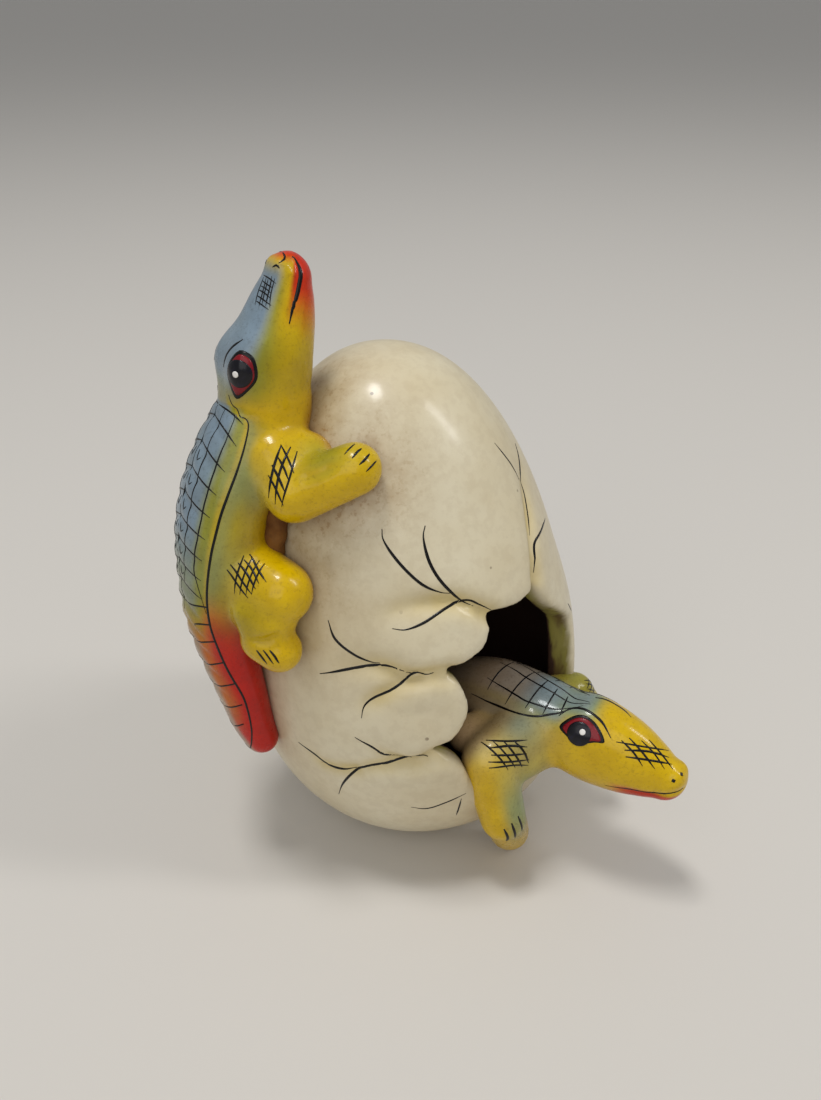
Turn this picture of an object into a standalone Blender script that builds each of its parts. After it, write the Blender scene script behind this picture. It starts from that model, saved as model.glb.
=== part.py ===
"""Painted clay figurine: a broken eggshell, a young crocodile hatching out of it and another climbing it.

Frame: metres, +Z up, origin at the centre of the egg's flat foot, -Y towards the front.
An azimuth is in degrees around the egg, from the front (-Y) towards +X. A height is along +Z.
"""

import math

import bpy
from mathutils import Vector

# The egg.
EGG_HEIGHT = 0.120
EGG_RADIUS = 0.0397
FOOT_RADIUS = 0.016
WIDEST_SHARE = 0.378
LOWER_POWER = 2.4
UPPER_POWER = 1.658
UPPER_ROUNDNESS = 2.247
LEAN = 0.0622
WALL = 0.005
SEAM_AZIMUTH = 50.0
SEAM_OFFSET = 0.005

# Fits.
GAP = 0.0003
CUT_DEPTH = 0.012
CUT_REACH = 0.010

# Fineness of the meshes.
EGG_RINGS = 26
EGG_SIDES = 52
CAVITY_RINGS = 14
CAVITY_SIDES = 30
POLE_GAP_LOW = 0.02
POLE_GAP_HIGH = 0.4
SLOPE_STEP = EGG_HEIGHT / 500
LIMB_SIDES = 12
CAP_ANGLES = (60, 30)
OUTLINE_STEPS = 3
FLAP_RINGS = (1.0, 0.93, 0.75, 0.45)
SHARP_ANGLE = 40

# Shell flaps round the hole: outlines as (azimuth in degrees, height in mm), and how far each one puffs out.
FLAP_EDGE = -0.0006
FLAPS = {
    "shell_flap_top": (0.0010, [(13, 93), (13, 86), (22, 77.5), (33, 72.6), (45, 71.8), (53, 74),
                                (60, 83), (66, 93), (52, 101), (30, 102)]),
    "shell_flap_right": (0.0012, [(55, 73), (57, 68), (67, 61.5), (79, 59.5), (92, 61), (98, 69),
                                  (94, 79), (82, 86), (69, 87), (61, 81)]),
    "shell_flap_upper_left": (0.0014, [(-8, 71), (-3, 76), (8, 77.5), (20, 76), (31, 71), (29, 66),
                                       (20, 63), (8, 62.5), (-3, 64)]),
    "shell_flap_lower_left": (0.0014, [(-12, 55), (-7, 60), (4, 61.5), (14, 60), (20.5, 54), (18, 48),
                                       (9, 43.8), (-3, 42.8), (-11, 47)]),
    "shell_flap_bottom": (0.0012, [(-22, 33), (-14, 38.5), (-4, 41), (8, 40.5), (17, 34), (27, 28),
                                   (38, 25), (43, 18), (34, 12), (12, 10.5), (-8, 15), (-19, 24)]),
    "shell_flap_far_right": (0.0012, [(78, 56), (90, 57.5), (101, 52), (104, 42), (98, 31), (86, 26),
                                      (75, 28), (73, 37), (74, 47)]),
}
HOLE = [(28, 73), (46, 74), (57, 71), (66, 64), (77, 58.5), (77, 45), (76, 34), (64, 28), (50, 25.5),
        (34, 25), (22, 30), (15, 37), (12, 42), (18, 48), (20.5, 54), (16, 60), (22, 63), (28, 66)]

# Climbing crocodile: (azimuth, radius from the egg's axis, height, half width, half thickness), in mm.
CLIMBER_HEAD = [(-61, 28.0, 113, 8.2, 9.2), (-61, 27.0, 117, 8.4, 9.2), (-61, 25.6, 121.5, 8.4, 9.0),
                (-61, 23.4, 126.5, 7.6, 7.8), (-61, 21.6, 131, 6.4, 6.8), (-61, 20.4, 134.0, 5.6, 5.8),
                (-61, 19.6, 136.3, 4.9, 4.8)]
CLIMBER_BODY = [(-61, 29.8, 109, 8.6, 8.8), (-61, 34.9, 102.5, 9.9, 8.6), (-61, 39.4, 95, 10.8, 8.2),
                (-60.5, 42.6, 86.5, 11.2, 7.8), (-60, 44.4, 78, 10.9, 7.2), (-59.5, 45.5, 69.5, 9.7, 6.4),
                (-58.5, 45.6, 62, 8.2, 5.8)]
CLIMBER_TAIL = [(-58.5, 44.9, 62.5, 7.5, 6.0), (-57.2, 44.6, 55, 7.4, 5.6), (-55.6, 44, 48, 6.7, 5.1),
                (-54, 43.4, 41.5, 5.5, 4.6), (-52.2, 42.6, 36.8, 4.4, 3.9)]
CLIMBER_PAD = [(-61, 29.2, 95.5, 8.6, 3.0), (-60.8, 31.2, 91.5, 10.6, 4.0), (-60.4, 33.7, 84, 11.4, 4.2),
               (-60, 36.0, 76, 10.6, 4.0), (-59.6, 38.2, 69.5, 8.0, 3.0)]

# Limbs are chains of (x, y, z, radius) in mm. The left ones mirror the right ones in a plane at an azimuth.
ARMS_MIDDLE = -61
LEGS_MIDDLE = -60
LIMB_UP = Vector((0.31, 0.17, 0.93))
CLIMBER_RIGHT_ARM = [[(-29, -20.6, 102.8, 6.5), (-24.8, -26.2, 98.8, 6.0)],
                     [(-24.8, -26.2, 98.6, 5.7), (-12.2, -27.9, 105.0, 5.0)]]
CLIMBER_RIGHT_LEG = [[(-34, -27.5, 79.6, 6.7), (-27.9, -32.2, 79.6, 6.3)],
                     [(-28.0, -32.2, 79.4, 6.0), (-31.2, -33.0, 74, 5.4)],
                     [(-31.2, -33.0, 74.2, 5.2), (-30.2, -34.4, 67.8, 4.8)]]

# Hatching crocodile: (x, y, z, half width, half thickness), in mm.
HATCHLING_HEAD = [(33.4, -24, 37.8, 8.0, 8.6), (38, -26.8, 37.0, 8.2, 10.0), (42, -29, 36.8, 8.0, 10.2),
                  (47, -32, 36.0, 7.2, 8.6), (52, -34.8, 34.6, 5.9, 6.3), (54.2, -36, 33.8, 4.9, 5.0)]
HATCHLING_BODY = [(9, -6, 33.6, 8.0, 7.2), (18, -13, 37.2, 9.1, 8.3), (27, -19.8, 38.8, 9.1, 8.3),
                  (34, -24.4, 38.6, 7.6, 7.4)]
HATCHLING_RIGHT_ARM = [[(24, -26, 38, 6.4), (16.4, -32.2, 36, 6.0)],
                       [(16.0, -32.4, 35.8, 5.8), (19.4, -34.6, 20, 5.2)],
                       [(19.4, -34.4, 20.2, 5.0), (22.2, -24.3, 5.4, 4.8)]]
HATCHLING_LEFT_ARM = [[(31.8, -13.8, 38, 5.6), (38, -10.8, 38.2, 5.0)],
                      [(38, -10.8, 37.8, 4.8), (44, -9.8, 28, 4.4)]]
HATCHLING_PAD = [(19.5, -29, 29.5, 3.4, 2.6), (24, -25, 28.2, 3.6, 2.6), (29, -20.5, 28.2, 3.6, 2.6),
                 (33.5, -14.5, 29.5, 3.4, 2.6)]

# Colours (linear) and roughness of the varnish.
CREAM = (0.62, 0.56, 0.43, 1.0)
CREAM_WARM = (0.66, 0.58, 0.40, 1.0)
YELLOW = (0.66, 0.46, 0.03, 1.0)
BLUE_GREY = (0.25, 0.34, 0.42, 1.0)
RED = (0.60, 0.06, 0.03, 1.0)
CLAY = (0.30, 0.17, 0.09, 1.0)
VARNISH = 0.35
BARE_CLAY = 0.85


def clear_scene():
    for obj in list(bpy.data.objects):
        bpy.data.objects.remove(obj)


def paint(name, colour, roughness):
    material = bpy.data.materials.new(name)
    material.use_nodes = True
    shader = material.node_tree.nodes["Principled BSDF"]
    shader.inputs["Base Color"].default_value = colour
    shader.inputs["Roughness"].default_value = roughness
    shader.inputs["Metallic"].default_value = 0.0
    material.diffuse_color = colour
    return material


def mesh_object(name, points, faces):
    mesh = bpy.data.meshes.new(name)
    mesh.from_pydata([tuple(p) for p in points], [], faces)
    mesh.validate()
    mesh.shade_smooth()
    mesh.set_sharp_from_angle(angle=math.radians(SHARP_ANGLE))
    obj = bpy.data.objects.new(name, mesh)
    bpy.context.scene.collection.objects.link(obj)
    return obj


def helper(obj):
    obj.hide_render = True
    obj.display_type = "WIRE"
    return obj


def combine(obj, other, operation):
    modifier = obj.modifiers.new(operation.lower() + "_" + other.name, "BOOLEAN")
    modifier.operation = operation
    modifier.object = other
    modifier.solver = "EXACT"
    helper(other)


def cut(obj, *cutters):
    for cutter in cutters:
        combine(obj, cutter, "DIFFERENCE")


# The egg's surface.


def egg_radius(height):
    share = min(max(height / EGG_HEIGHT, 0.0), 1.0)
    if share < WIDEST_SHARE:
        below = (WIDEST_SHARE - share) / WIDEST_SHARE
        return EGG_RADIUS * math.sqrt(1 - below**LOWER_POWER * (1 - (FOOT_RADIUS / EGG_RADIUS) ** 2))
    above = (share - WIDEST_SHARE) / (1 - WIDEST_SHARE)
    return EGG_RADIUS * max(1 - above**UPPER_POWER, 0.0) ** (1 / UPPER_ROUNDNESS)


def around_egg(azimuth, radius, height):
    """A point at a radius from the egg's leaning axis."""
    angle = math.radians(azimuth)
    return Vector((radius * math.sin(angle) - LEAN * height, -radius * math.cos(angle), height))


def on_egg(azimuth, height, out=0.0):
    """A point that stands out from the egg's surface, along the surface's normal."""
    low, high = max(height - SLOPE_STEP, 0.0), min(height + SLOPE_STEP, EGG_HEIGHT)
    slope = (egg_radius(high) - egg_radius(low)) / (high - low)
    length = math.hypot(1.0, slope)
    return around_egg(azimuth, egg_radius(height) + out / length, height - out * slope / length)


def ring_faces(rings, sides, start=1):
    """Quads between rings of points, with a pole before the first ring and one after the last."""
    faces = []
    last = start + rings * sides
    for j in range(sides):
        k = (j + 1) % sides
        faces.append((0, start + k, start + j))
        faces.append((last, last - sides + j, last - sides + k))
    for i in range(rings - 1):
        for j in range(sides):
            k = (j + 1) % sides
            a, b = start + i * sides, start + (i + 1) * sides
            faces.append((a + j, a + k, b + k, b + j))
    return faces


def egg_solid(name, out, rings, sides, floor=0.0):
    """The egg grown by out, closed by a flat foot at floor."""
    points = [Vector((-LEAN * floor, 0, floor))]
    for i in range(rings):
        share = (i + POLE_GAP_LOW) / (rings - POLE_GAP_HIGH)
        height = EGG_HEIGHT * (1 - math.cos(math.pi * share)) / 2
        for j in range(sides):
            point = on_egg(360 * j / sides, height, out)
            point.z = max(point.z, floor)
            points.append(point)
    points.append(Vector((-LEAN * EGG_HEIGHT, 0, EGG_HEIGHT + out)))
    return mesh_object(name, points, ring_faces(rings, sides))


def smooth_outline(outline):
    """The closed curve through the outline's points."""
    count = len(outline)
    points = []
    for i in range(count):
        p0, p1, p2, p3 = (Vector(outline[(i + k) % count]) for k in (-1, 0, 1, 2))
        for s in range(OUTLINE_STEPS):
            t = s / OUTLINE_STEPS
            points.append(0.5 * (2 * p1 + (p2 - p0) * t + (2 * p0 - 5 * p1 + 4 * p2 - p3) * t**2
                                 + (3 * p1 - p0 - 3 * p2 + p3) * t**3))
    return points


def grown_outline(outline, grow):
    """The outline moved outwards by grow metres, as (azimuth, height in metres)."""
    curve = smooth_outline(outline)
    per_degree = EGG_RADIUS * math.radians(1)
    flat = [Vector((p.x * per_degree, p.y / 1000)) for p in curve]
    area = sum(a.x * b.y - b.x * a.y for a, b in zip(flat, flat[1:] + flat[:1]))
    turn = 1 if area > 0 else -1
    moved = []
    for i, point in enumerate(flat):
        along = (flat[(i + 1) % len(flat)] - flat[i - 1]).normalized()
        moved.append(point + Vector((along.y, -along.x)) * grow * turn)
    if area < 0:
        moved.reverse()
    return [(p.x / per_degree, p.y) for p in moved]


def centre_of(outline):
    return (sum(p[0] for p in outline) / len(outline), sum(p[1] for p in outline) / len(outline))


def shell_prism(name, outline, grow, depth, reach):
    """A closed solid through the wall, between two offsets from the egg's surface."""
    edge = grown_outline(outline, grow)
    middle = centre_of(edge)
    count = len(edge)
    points = [on_egg(*middle, -depth)]
    points += [on_egg(*p, -depth) for p in edge]
    points += [on_egg(*p, reach) for p in edge]
    points.append(on_egg(*middle, reach))
    return mesh_object(name, points, ring_faces(2, count))


def shell_flap(name, crown, outline, grow=0.0):
    """One puffed piece of broken shell, as thick as the wall."""
    edge = grown_outline(outline, grow)
    middle = centre_of(edge)
    count = len(edge)
    points = [on_egg(*middle, -WALL - grow)]
    points += [on_egg(*p, -WALL - grow) for p in edge]
    for share in FLAP_RINGS:
        out = FLAP_EDGE + (crown - FLAP_EDGE) * math.sqrt(max(1 - share**4, 0)) + grow
        for azimuth, height in edge:
            points.append(on_egg(middle[0] + (azimuth - middle[0]) * share,
                                 middle[1] + (height - middle[1]) * share, out))
    points.append(on_egg(*middle, crown + grow))
    return mesh_object(name, points, ring_faces(5, count))


# Bodies and limbs.


def between(stations, steps):
    """Stations spaced along the smooth curve through the given ones."""
    found = []
    for i in range(len(stations) - 1):
        p1, p2 = stations[i], stations[i + 1]
        p0 = stations[i - 1] if i else [2 * a - b for a, b in zip(p1, p2)]
        p3 = stations[i + 2] if i + 2 < len(stations) else [2 * b - a for a, b in zip(p1, p2)]
        for s in range(steps):
            t = s / steps
            found.append([0.5 * (2 * b + (c - a) * t + (2 * a - 5 * b + 4 * c - d) * t * t
                                 + (3 * b - a - 3 * c + d) * t**3) for a, b, c, d in zip(p0, p1, p2, p3)])
    return found + [list(stations[-1])]


def loft(name, stations, up_of, grow=0.0, steps=2, sides=LIMB_SIDES):
    """A closed round-ended body through stations of (x, y, z, half width, half thickness) in metres."""
    path = between(stations, steps)
    centres = [Vector(s[:3]) for s in path]
    rings = []
    for i, station in enumerate(path):
        along = (centres[min(i + 1, len(path) - 1)] - centres[max(i - 1, 0)]).normalized()
        side = up_of(centres[i]).cross(along).normalized()
        rings.append((centres[i], along, side, along.cross(side), station[3] + grow, station[4] + grow))
    first, last = rings[0], rings[-1]
    ends = [math.radians(angle) for angle in CAP_ANGLES]
    caps = [(first, -math.sin(angle), math.cos(angle)) for angle in ends]
    body = [(ring, 0.0, 1.0) for ring in rings]
    body += [(last, math.sin(angle), math.cos(angle)) for angle in reversed(ends)]
    points = [first[0] - first[1] * min(first[4], first[5])]
    for (centre, along, side, up, wide, thick), shift, scale in caps + body:
        middle = centre + along * shift * min(wide, thick)
        for j in range(sides):
            angle = 2 * math.pi * j / sides
            across_by, up_by = wide * scale * math.cos(angle), thick * scale * math.sin(angle)
            points.append(middle + side * across_by + up * up_by)
    points.append(last[0] + last[1] * min(last[4], last[5]))
    return mesh_object(name, points, ring_faces(len(caps) + len(body), sides))


def outwards(point):
    return Vector((point.x + LEAN * point.z, point.y, 0))


def upwards(_):
    return Vector((0, 0, 1))


def across(_):
    return LIMB_UP


def on_climber(stations):
    return [[*around_egg(azimuth, radius / 1000, height / 1000), wide / 1000, thick / 1000]
            for azimuth, radius, height, wide, thick in stations]


def in_metres(stations):
    return [[value / 1000 for value in station] for station in stations]


def limb(name, chain, grow=0.0):
    """A limb as capsules joined end to end."""
    pieces = []
    for index, segment in enumerate(chain):
        stations = [(*s, s[3]) for s in in_metres(segment)]
        label = name if index == 0 else f"{name}_segment_{index + 1}"
        pieces.append(loft(label, stations, across, grow, steps=1))
    for other in pieces[1:]:
        combine(pieces[0], other, "UNION")
    return pieces[0]


def mirrored(chain, azimuth):
    """A limb's chain reflected in the vertical plane through the egg's axis at an azimuth."""
    angle = math.radians(azimuth)
    normal = Vector((math.cos(angle), math.sin(angle), 0))
    copies = []
    for segment in chain:
        copy = []
        for x, y, z, radius in segment:
            point = Vector((x + LEAN * z, y, 0))
            point -= 2 * point.dot(normal) * normal
            copy.append((point.x - LEAN * z, point.y, z, radius))
        copies.append(copy)
    return copies


# The figurine.


def seam_cutter(name, keep_open_side):
    """A large block on one side of the plane where the two moulded halves meet."""
    angle = math.radians(SEAM_AZIMUTH)
    towards = Vector((math.sin(angle), -math.cos(angle), 0))
    sign = -1 if keep_open_side else 1
    size = 2 * EGG_HEIGHT
    middle = towards * (SEAM_OFFSET + sign * (size / 2 - GAP / 2)) + Vector((0, 0, EGG_HEIGHT / 2))
    square = ((-1, -1), (1, -1), (1, 1), (-1, 1))
    corners = [Vector((x, y, z)) * size / 2 for z in (-1, 1) for x, y in square]
    faces = [(3, 2, 1, 0), (4, 5, 6, 7), (0, 1, 5, 4), (1, 2, 6, 5), (2, 3, 7, 6), (3, 0, 4, 7)]
    block = helper(mesh_object(name, corners, faces))
    block.location = middle
    block.rotation_euler = (0, 0, angle)
    return block


def make_egg():
    cavity = egg_solid("egg_cavity", -WALL, CAVITY_RINGS, CAVITY_SIDES, floor=WALL)
    cream = paint("cream_slip", CREAM, VARNISH)
    closed = egg_solid("egg_closed_half", 0.0, EGG_RINGS, EGG_SIDES)
    cut(closed, cavity, seam_cutter("seam_front", False))
    opened = egg_solid("egg_open_half", 0.0, EGG_RINGS, EGG_SIDES)
    cut(opened, cavity, seam_cutter("seam_back", True))
    cut(opened, shell_prism("hole_cutter", HOLE, GAP, CUT_DEPTH, CUT_REACH))
    for name, (_, outline) in FLAPS.items():
        cut(opened, shell_prism(name + "_slot", outline, GAP, CUT_DEPTH, CUT_REACH))
    for half in (closed, opened):
        half.data.materials.append(cream)


def make_flaps():
    warm = paint("cream_flap", CREAM_WARM, VARNISH)
    for name, (crown, outline) in FLAPS.items():
        shell_flap(name, crown, outline).data.materials.append(warm)


def make_climber():
    yellow = paint("climber_yellow", YELLOW, VARNISH)
    blue = paint("climber_blue", BLUE_GREY, VARNISH)
    red = paint("climber_red", RED, VARNISH)
    clay = paint("climber_clay", CLAY, BARE_CLAY)
    egg_room = egg_solid("egg_room", GAP, EGG_RINGS, EGG_SIDES)
    head = loft("climber_head", on_climber(CLIMBER_HEAD), outwards)
    body = loft("climber_body", on_climber(CLIMBER_BODY), outwards)
    tail = loft("climber_tail", on_climber(CLIMBER_TAIL), outwards)
    pad = loft("climber_luting_clay", on_climber(CLIMBER_PAD), outwards)
    head_room = loft("climber_head_room", on_climber(CLIMBER_HEAD), outwards, GAP)
    body_room = loft("climber_body_room", on_climber(CLIMBER_BODY), outwards, GAP)
    cut(head, egg_room)
    cut(body, head_room, egg_room)
    cut(tail, body_room, egg_room)
    cut(pad, body_room, head_room, egg_room)
    chains = {"climber_right_arm": CLIMBER_RIGHT_ARM, "climber_right_leg": CLIMBER_RIGHT_LEG,
              "climber_left_arm": mirrored(CLIMBER_RIGHT_ARM, ARMS_MIDDLE),
              "climber_left_leg": mirrored(CLIMBER_RIGHT_LEG, LEGS_MIDDLE)}
    for name, chain in chains.items():
        piece = limb(name, chain)
        cut(piece, body_room, egg_room)
        piece.data.materials.append(yellow)
        room = limb(name + "_room", chain, GAP)
        cut(pad, room)
        if "leg" in name:
            cut(tail, room)
    for piece, material in ((head, yellow), (body, blue), (tail, red), (pad, clay)):
        piece.data.materials.append(material)


def make_hatchling():
    yellow = paint("hatchling_yellow", YELLOW, VARNISH)
    blue = paint("hatchling_blue", BLUE_GREY, VARNISH)
    clay = paint("hatchling_clay", CLAY, BARE_CLAY)
    head = loft("hatchling_head", in_metres(HATCHLING_HEAD), upwards)
    body = loft("hatchling_body", in_metres(HATCHLING_BODY), upwards)
    pad = loft("hatchling_luting_clay", in_metres(HATCHLING_PAD), upwards)
    head_room = loft("hatchling_head_room", in_metres(HATCHLING_HEAD), upwards, GAP)
    body_room = loft("hatchling_body_room", in_metres(HATCHLING_BODY), upwards, GAP)
    cut(body, head_room)
    arms = {"hatchling_right_arm": HATCHLING_RIGHT_ARM, "hatchling_left_arm": HATCHLING_LEFT_ARM}
    walls = {"hatchling_right_arm": "shell_flap_bottom", "hatchling_left_arm": "shell_flap_far_right"}
    for name, chain in arms.items():
        piece = limb(name, chain)
        crown, outline = FLAPS[walls[name]]
        cut(piece, body_room, head_room, shell_flap(name + "_flap_room", crown, outline, GAP))
        piece.data.materials.append(yellow)
        cut(pad, limb(name + "_room", chain, GAP))
    cut(pad, body_room)
    combine(pad, shell_prism("hole_room", HOLE, -GAP, CUT_DEPTH, CUT_REACH), "INTERSECT")
    for piece, material in ((head, yellow), (body, blue), (pad, clay)):
        piece.data.materials.append(material)


def main():
    clear_scene()
    make_egg()
    make_flaps()
    make_climber()
    make_hatchling()


main()
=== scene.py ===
"""Looks of the painted clay figurine: a broken egg, a young crocodile hatching out and another climbing it.

Frame: metres, +Z up, origin at the centre of the egg's flat foot, -Y towards the front. Shapes are in mm.
An azimuth is in degrees around the egg, from the front (-Y) towards +X. A height is along +Z.
"""

import math

import bpy
import numpy as np
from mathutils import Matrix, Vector
from mathutils.bvhtree import BVHTree


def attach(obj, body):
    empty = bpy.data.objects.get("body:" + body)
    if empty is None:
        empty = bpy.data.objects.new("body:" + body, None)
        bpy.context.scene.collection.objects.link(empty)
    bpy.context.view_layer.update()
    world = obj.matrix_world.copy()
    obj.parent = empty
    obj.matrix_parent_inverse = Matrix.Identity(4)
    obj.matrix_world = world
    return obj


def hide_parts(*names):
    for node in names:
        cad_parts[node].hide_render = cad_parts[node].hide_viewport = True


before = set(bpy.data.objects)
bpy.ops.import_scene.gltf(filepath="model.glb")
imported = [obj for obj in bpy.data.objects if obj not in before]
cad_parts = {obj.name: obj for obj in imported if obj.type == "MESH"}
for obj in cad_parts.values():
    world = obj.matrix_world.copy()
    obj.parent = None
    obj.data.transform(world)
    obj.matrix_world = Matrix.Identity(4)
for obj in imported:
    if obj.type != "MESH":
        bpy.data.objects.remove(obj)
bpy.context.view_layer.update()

MM = 0.001

# The egg, as in the CAD.
EGG_HEIGHT = 120.0
EGG_RADIUS = 39.7
FOOT_RADIUS = 16.0
WIDEST_SHARE = 0.378
LOWER_POWER = 2.4
UPPER_POWER = 1.658
UPPER_ROUNDNESS = 2.247
LEAN = 0.0622
WALL = 5.0

# The broken hole's edge, as (azimuth, height), with a notch between each two flaps of shell.
HOLE = [(33.2, 73.2), (39.4, 72.8), (46.4, 72.8), (51.5, 73.6), (54.4, 77), (54.9, 73.0), (56, 71),
        (59.8, 67.6), (65, 64.4), (71, 61), (76, 57.5), (75.8, 52), (74.5, 47), (73.5, 41), (73.5, 34),
        (71, 30), (65, 28.3), (50, 25.3), (38, 25), (27, 28), (21, 33), (17.3, 38.2), (13.5, 41),
        (7.5, 43.6), (14.5, 46.2), (18.5, 49.8), (20.5, 53.3), (19.7, 57.2), (17.2, 60.8), (12.5, 62.7),
        (19.8, 63.8), (24, 65), (28, 66.5), (30.4, 69.2), (31, 71.6), (29, 73.2)]

# Creases between the flaps: depth, half width, and the line from the hole outwards as (azimuth, height).
CREASES = [
    (2.1, 3.4, [(31, 73.4), (25, 76), (17, 77.8), (4, 77.4), (-4, 75.6), (-9, 72)]),
    (2.1, 3.4, [(15.5, 62.9), (10, 63), (3.5, 62.6), (-3, 64), (-10, 64.5), (-18, 63), (-26, 61)]),
    (1.3, 2.8, [(5, 62.5), (-4, 59.3), (-9, 57), (-12, 55), (-13.5, 51)]),
    (2.1, 3.2, [(10, 43.2), (4, 41.3), (0, 40.7), (-5, 42), (-11, 44.9), (-16, 47.5)]),
    (1.3, 2.8, [(5, 41.4), (-6, 40), (-13, 38.5), (-18.5, 35.6), (-23, 31)]),
    (0.7, 2.6, [(-17, 37), (-27.6, 35.6), (-33, 37.9), (-38, 39.3)]),
    (1.5, 2.8, [(54.5, 75.5), (56, 79.5), (60, 84.5), (66.5, 90), (73, 95), (82, 98)]),
]

# Crocodiles from the snout back, each place with a half width and a half thickness. Places are (azimuth,
# radius from the egg's axis, height) for the climber and its clay, (x, y, z) for the hatchling and its clay.
CLIMBER = [(-61, 19.6, 136.3, 4.9, 4.8), (-61, 20.4, 134.0, 5.6, 5.8), (-61, 21.6, 131, 6.4, 6.8),
           (-61, 23.4, 126.5, 7.6, 7.8), (-61, 25.6, 121.5, 8.4, 9.0), (-61, 27.0, 117, 8.4, 9.2),
           (-61, 27.6, 113, 8.4, 9.6), (-61, 29.1, 109, 9.0, 9.8), (-61, 34.6, 102.5, 10.2, 9.0),
           (-61, 38.6, 95, 11.2, 9.0), (-60.5, 41.4, 86.5, 11.8, 9.0), (-60, 43.4, 78, 11.4, 8.2),
           (-59.5, 45.2, 69.5, 10.0, 6.8), (-58.5, 45.3, 62, 8.6, 6.0), (-57.2, 44.6, 55, 7.8, 5.6),
           (-55.6, 44, 48, 6.9, 5.1), (-54, 43.4, 41.5, 5.6, 4.6), (-52.2, 42.6, 36.8, 4.4, 3.9)]
HATCHLING = [(54.2, -36, 33.4, 4.9, 5.4), (52, -34.8, 34.1, 5.9, 6.8), (47, -32, 35.5, 7.3, 9.3),
             (42, -29, 36.6, 8.0, 10.5), (38, -26.8, 37.0, 8.2, 10.3), (33.5, -24.1, 37.6, 8.4, 9.2),
             (27, -19.8, 39.0, 9.4, 8.6), (18, -13, 38.5, 9.4, 8.6), (9, -6, 35, 8.0, 7.4)]

# Limbs: chains of (x, y, z, radius).
CLIMBER_ARM = [[(-29, -20.6, 103.5, 7.2), (-24.8, -26.0, 99.0, 6.3)],
               [(-24.8, -26.2, 98.6, 6.0), (-12.6, -27.8, 104.8, 5.3)],
               [(-29, -20.6, 103.5, 6.4), (-23, -20.5, 103.0, 6.2)]]
CLIMBER_LEG = [[(-34, -27.2, 80, 7.2), (-28.0, -32.0, 79.3, 6.6)],
               [(-33.2, -32.0, 75.4, 5.4), (-30.2, -33.4, 74.2, 5.5)],
               [(-32.2, -33.4, 69.0, 4.9), (-28.8, -34.9, 67.2, 4.8)],
               [(-33.0, -32.2, 74.5, 5.2), (-31.2, -33.8, 69.5, 5.0)]]
HATCHLING_RIGHT_ARM = [[(24, -25.5, 38, 6.8), (16.0, -32.0, 36, 6.3)],
                       [(15.4, -32.6, 35.5, 6.2), (19.2, -34.6, 20, 5.4)],
                       [(19.4, -34.4, 20.2, 5.1), (22.2, -24.3, 5.4, 4.9)],
                       [(27, -24.5, 34, 6.8), (22, -28, 33.5, 6.6)],
                       [(20, -23, 35.5, 5.4), (10.8, -25.5, 37.0, 4.6)]]
HATCHLING_LEFT_ARM = [[(31, -13.6, 38.0, 5.2), (37.3, -11.5, 38.4, 4.6)],
                      [(37.5, -11.4, 37.8, 4.5), (43.5, -10.3, 28, 4.3)]]
HATCHLING_LIMBS = (HATCHLING_RIGHT_ARM, HATCHLING_LEFT_ARM)

# The climber's far limbs mirror the near ones across upright planes through the axis, at these azimuths.
ARM_AZIMUTH = -61
LEG_AZIMUTH = -60

# Luting clay between each crocodile and the egg.
CLIMBER_PAD = [(-61, 29.2, 95.5, 8.6, 3.0), (-60.8, 31.2, 91.5, 10.6, 4.0), (-60.4, 33.7, 84, 11.4, 4.2),
               (-60, 36.0, 76, 10.6, 4.0), (-59.6, 38.2, 69.5, 8.0, 3.0)]
HATCHLING_PAD = [(19.5, -29, 29.5, 3.4, 2.6), (24, -25, 28.2, 3.6, 2.6), (29, -20.5, 28.2, 3.6, 2.6),
                 (33.5, -14.5, 29.5, 3.4, 2.6)]

# Sizes of the steps in the finished meshes.
SHELL_VOXEL = 0.75
SKIN_VOXEL = 0.45
PAD_VOXEL = 0.6


def rgb(red, green, blue):
    """An sRGB colour as linear values."""
    shares = np.array([red, green, blue]) / 255
    return np.where(shares > 0.04, ((shares + 0.055) / 1.055) ** 2.4, shares / 12.92)


def smooth(low, high, x):
    """0 at the low end and 1 at the high end, with a soft start and stop; the low end may be the larger."""
    t = np.clip((np.asarray(x, float) - low) / (high - low), 0, 1)
    return t * t * (3 - 2 * t)


# ---- Meshes -------------------------------------------------------------------------------------


def object_from(name, points, faces):
    mesh = bpy.data.meshes.new(name)
    mesh.from_pydata((np.asarray(points, float) * MM).tolist(), [], faces)
    mesh.validate()
    obj = bpy.data.objects.new(name, mesh)
    bpy.context.scene.collection.objects.link(obj)
    return obj


def points_of(mesh):
    flat = np.empty(len(mesh.vertices) * 3, np.float32)
    mesh.vertices.foreach_get("co", flat)
    return flat.reshape(-1, 3).astype(float) / MM


def set_points(mesh, points):
    mesh.vertices.foreach_set("co", (points * MM).astype(np.float32).ravel())
    mesh.update()


def normals_of(mesh):
    flat = np.empty(len(mesh.vertices) * 3, np.float32)
    mesh.vertex_normals.foreach_get("vector", flat)
    return flat.reshape(-1, 3).astype(float)


def attribute(mesh, name, values):
    values = np.asarray(values, np.float32)
    if values.ndim == 2:
        rgba = np.ones((len(values), 4), np.float32)
        rgba[:, :3] = values
        mesh.attributes.new(name, "FLOAT_COLOR", "POINT").data.foreach_set("color", rgba.ravel())
    else:
        mesh.attributes.new(name, "FLOAT", "POINT").data.foreach_set("value", values)


def applied(obj):
    """The object with its modifiers applied to its own mesh."""
    graph = bpy.context.evaluated_depsgraph_get()
    mesh = bpy.data.meshes.new_from_object(obj.evaluated_get(graph))
    obj.modifiers.clear()
    old, obj.data = obj.data, mesh
    bpy.data.meshes.remove(old)
    mesh.name = obj.name
    mesh.shade_smooth()
    return obj


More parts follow.
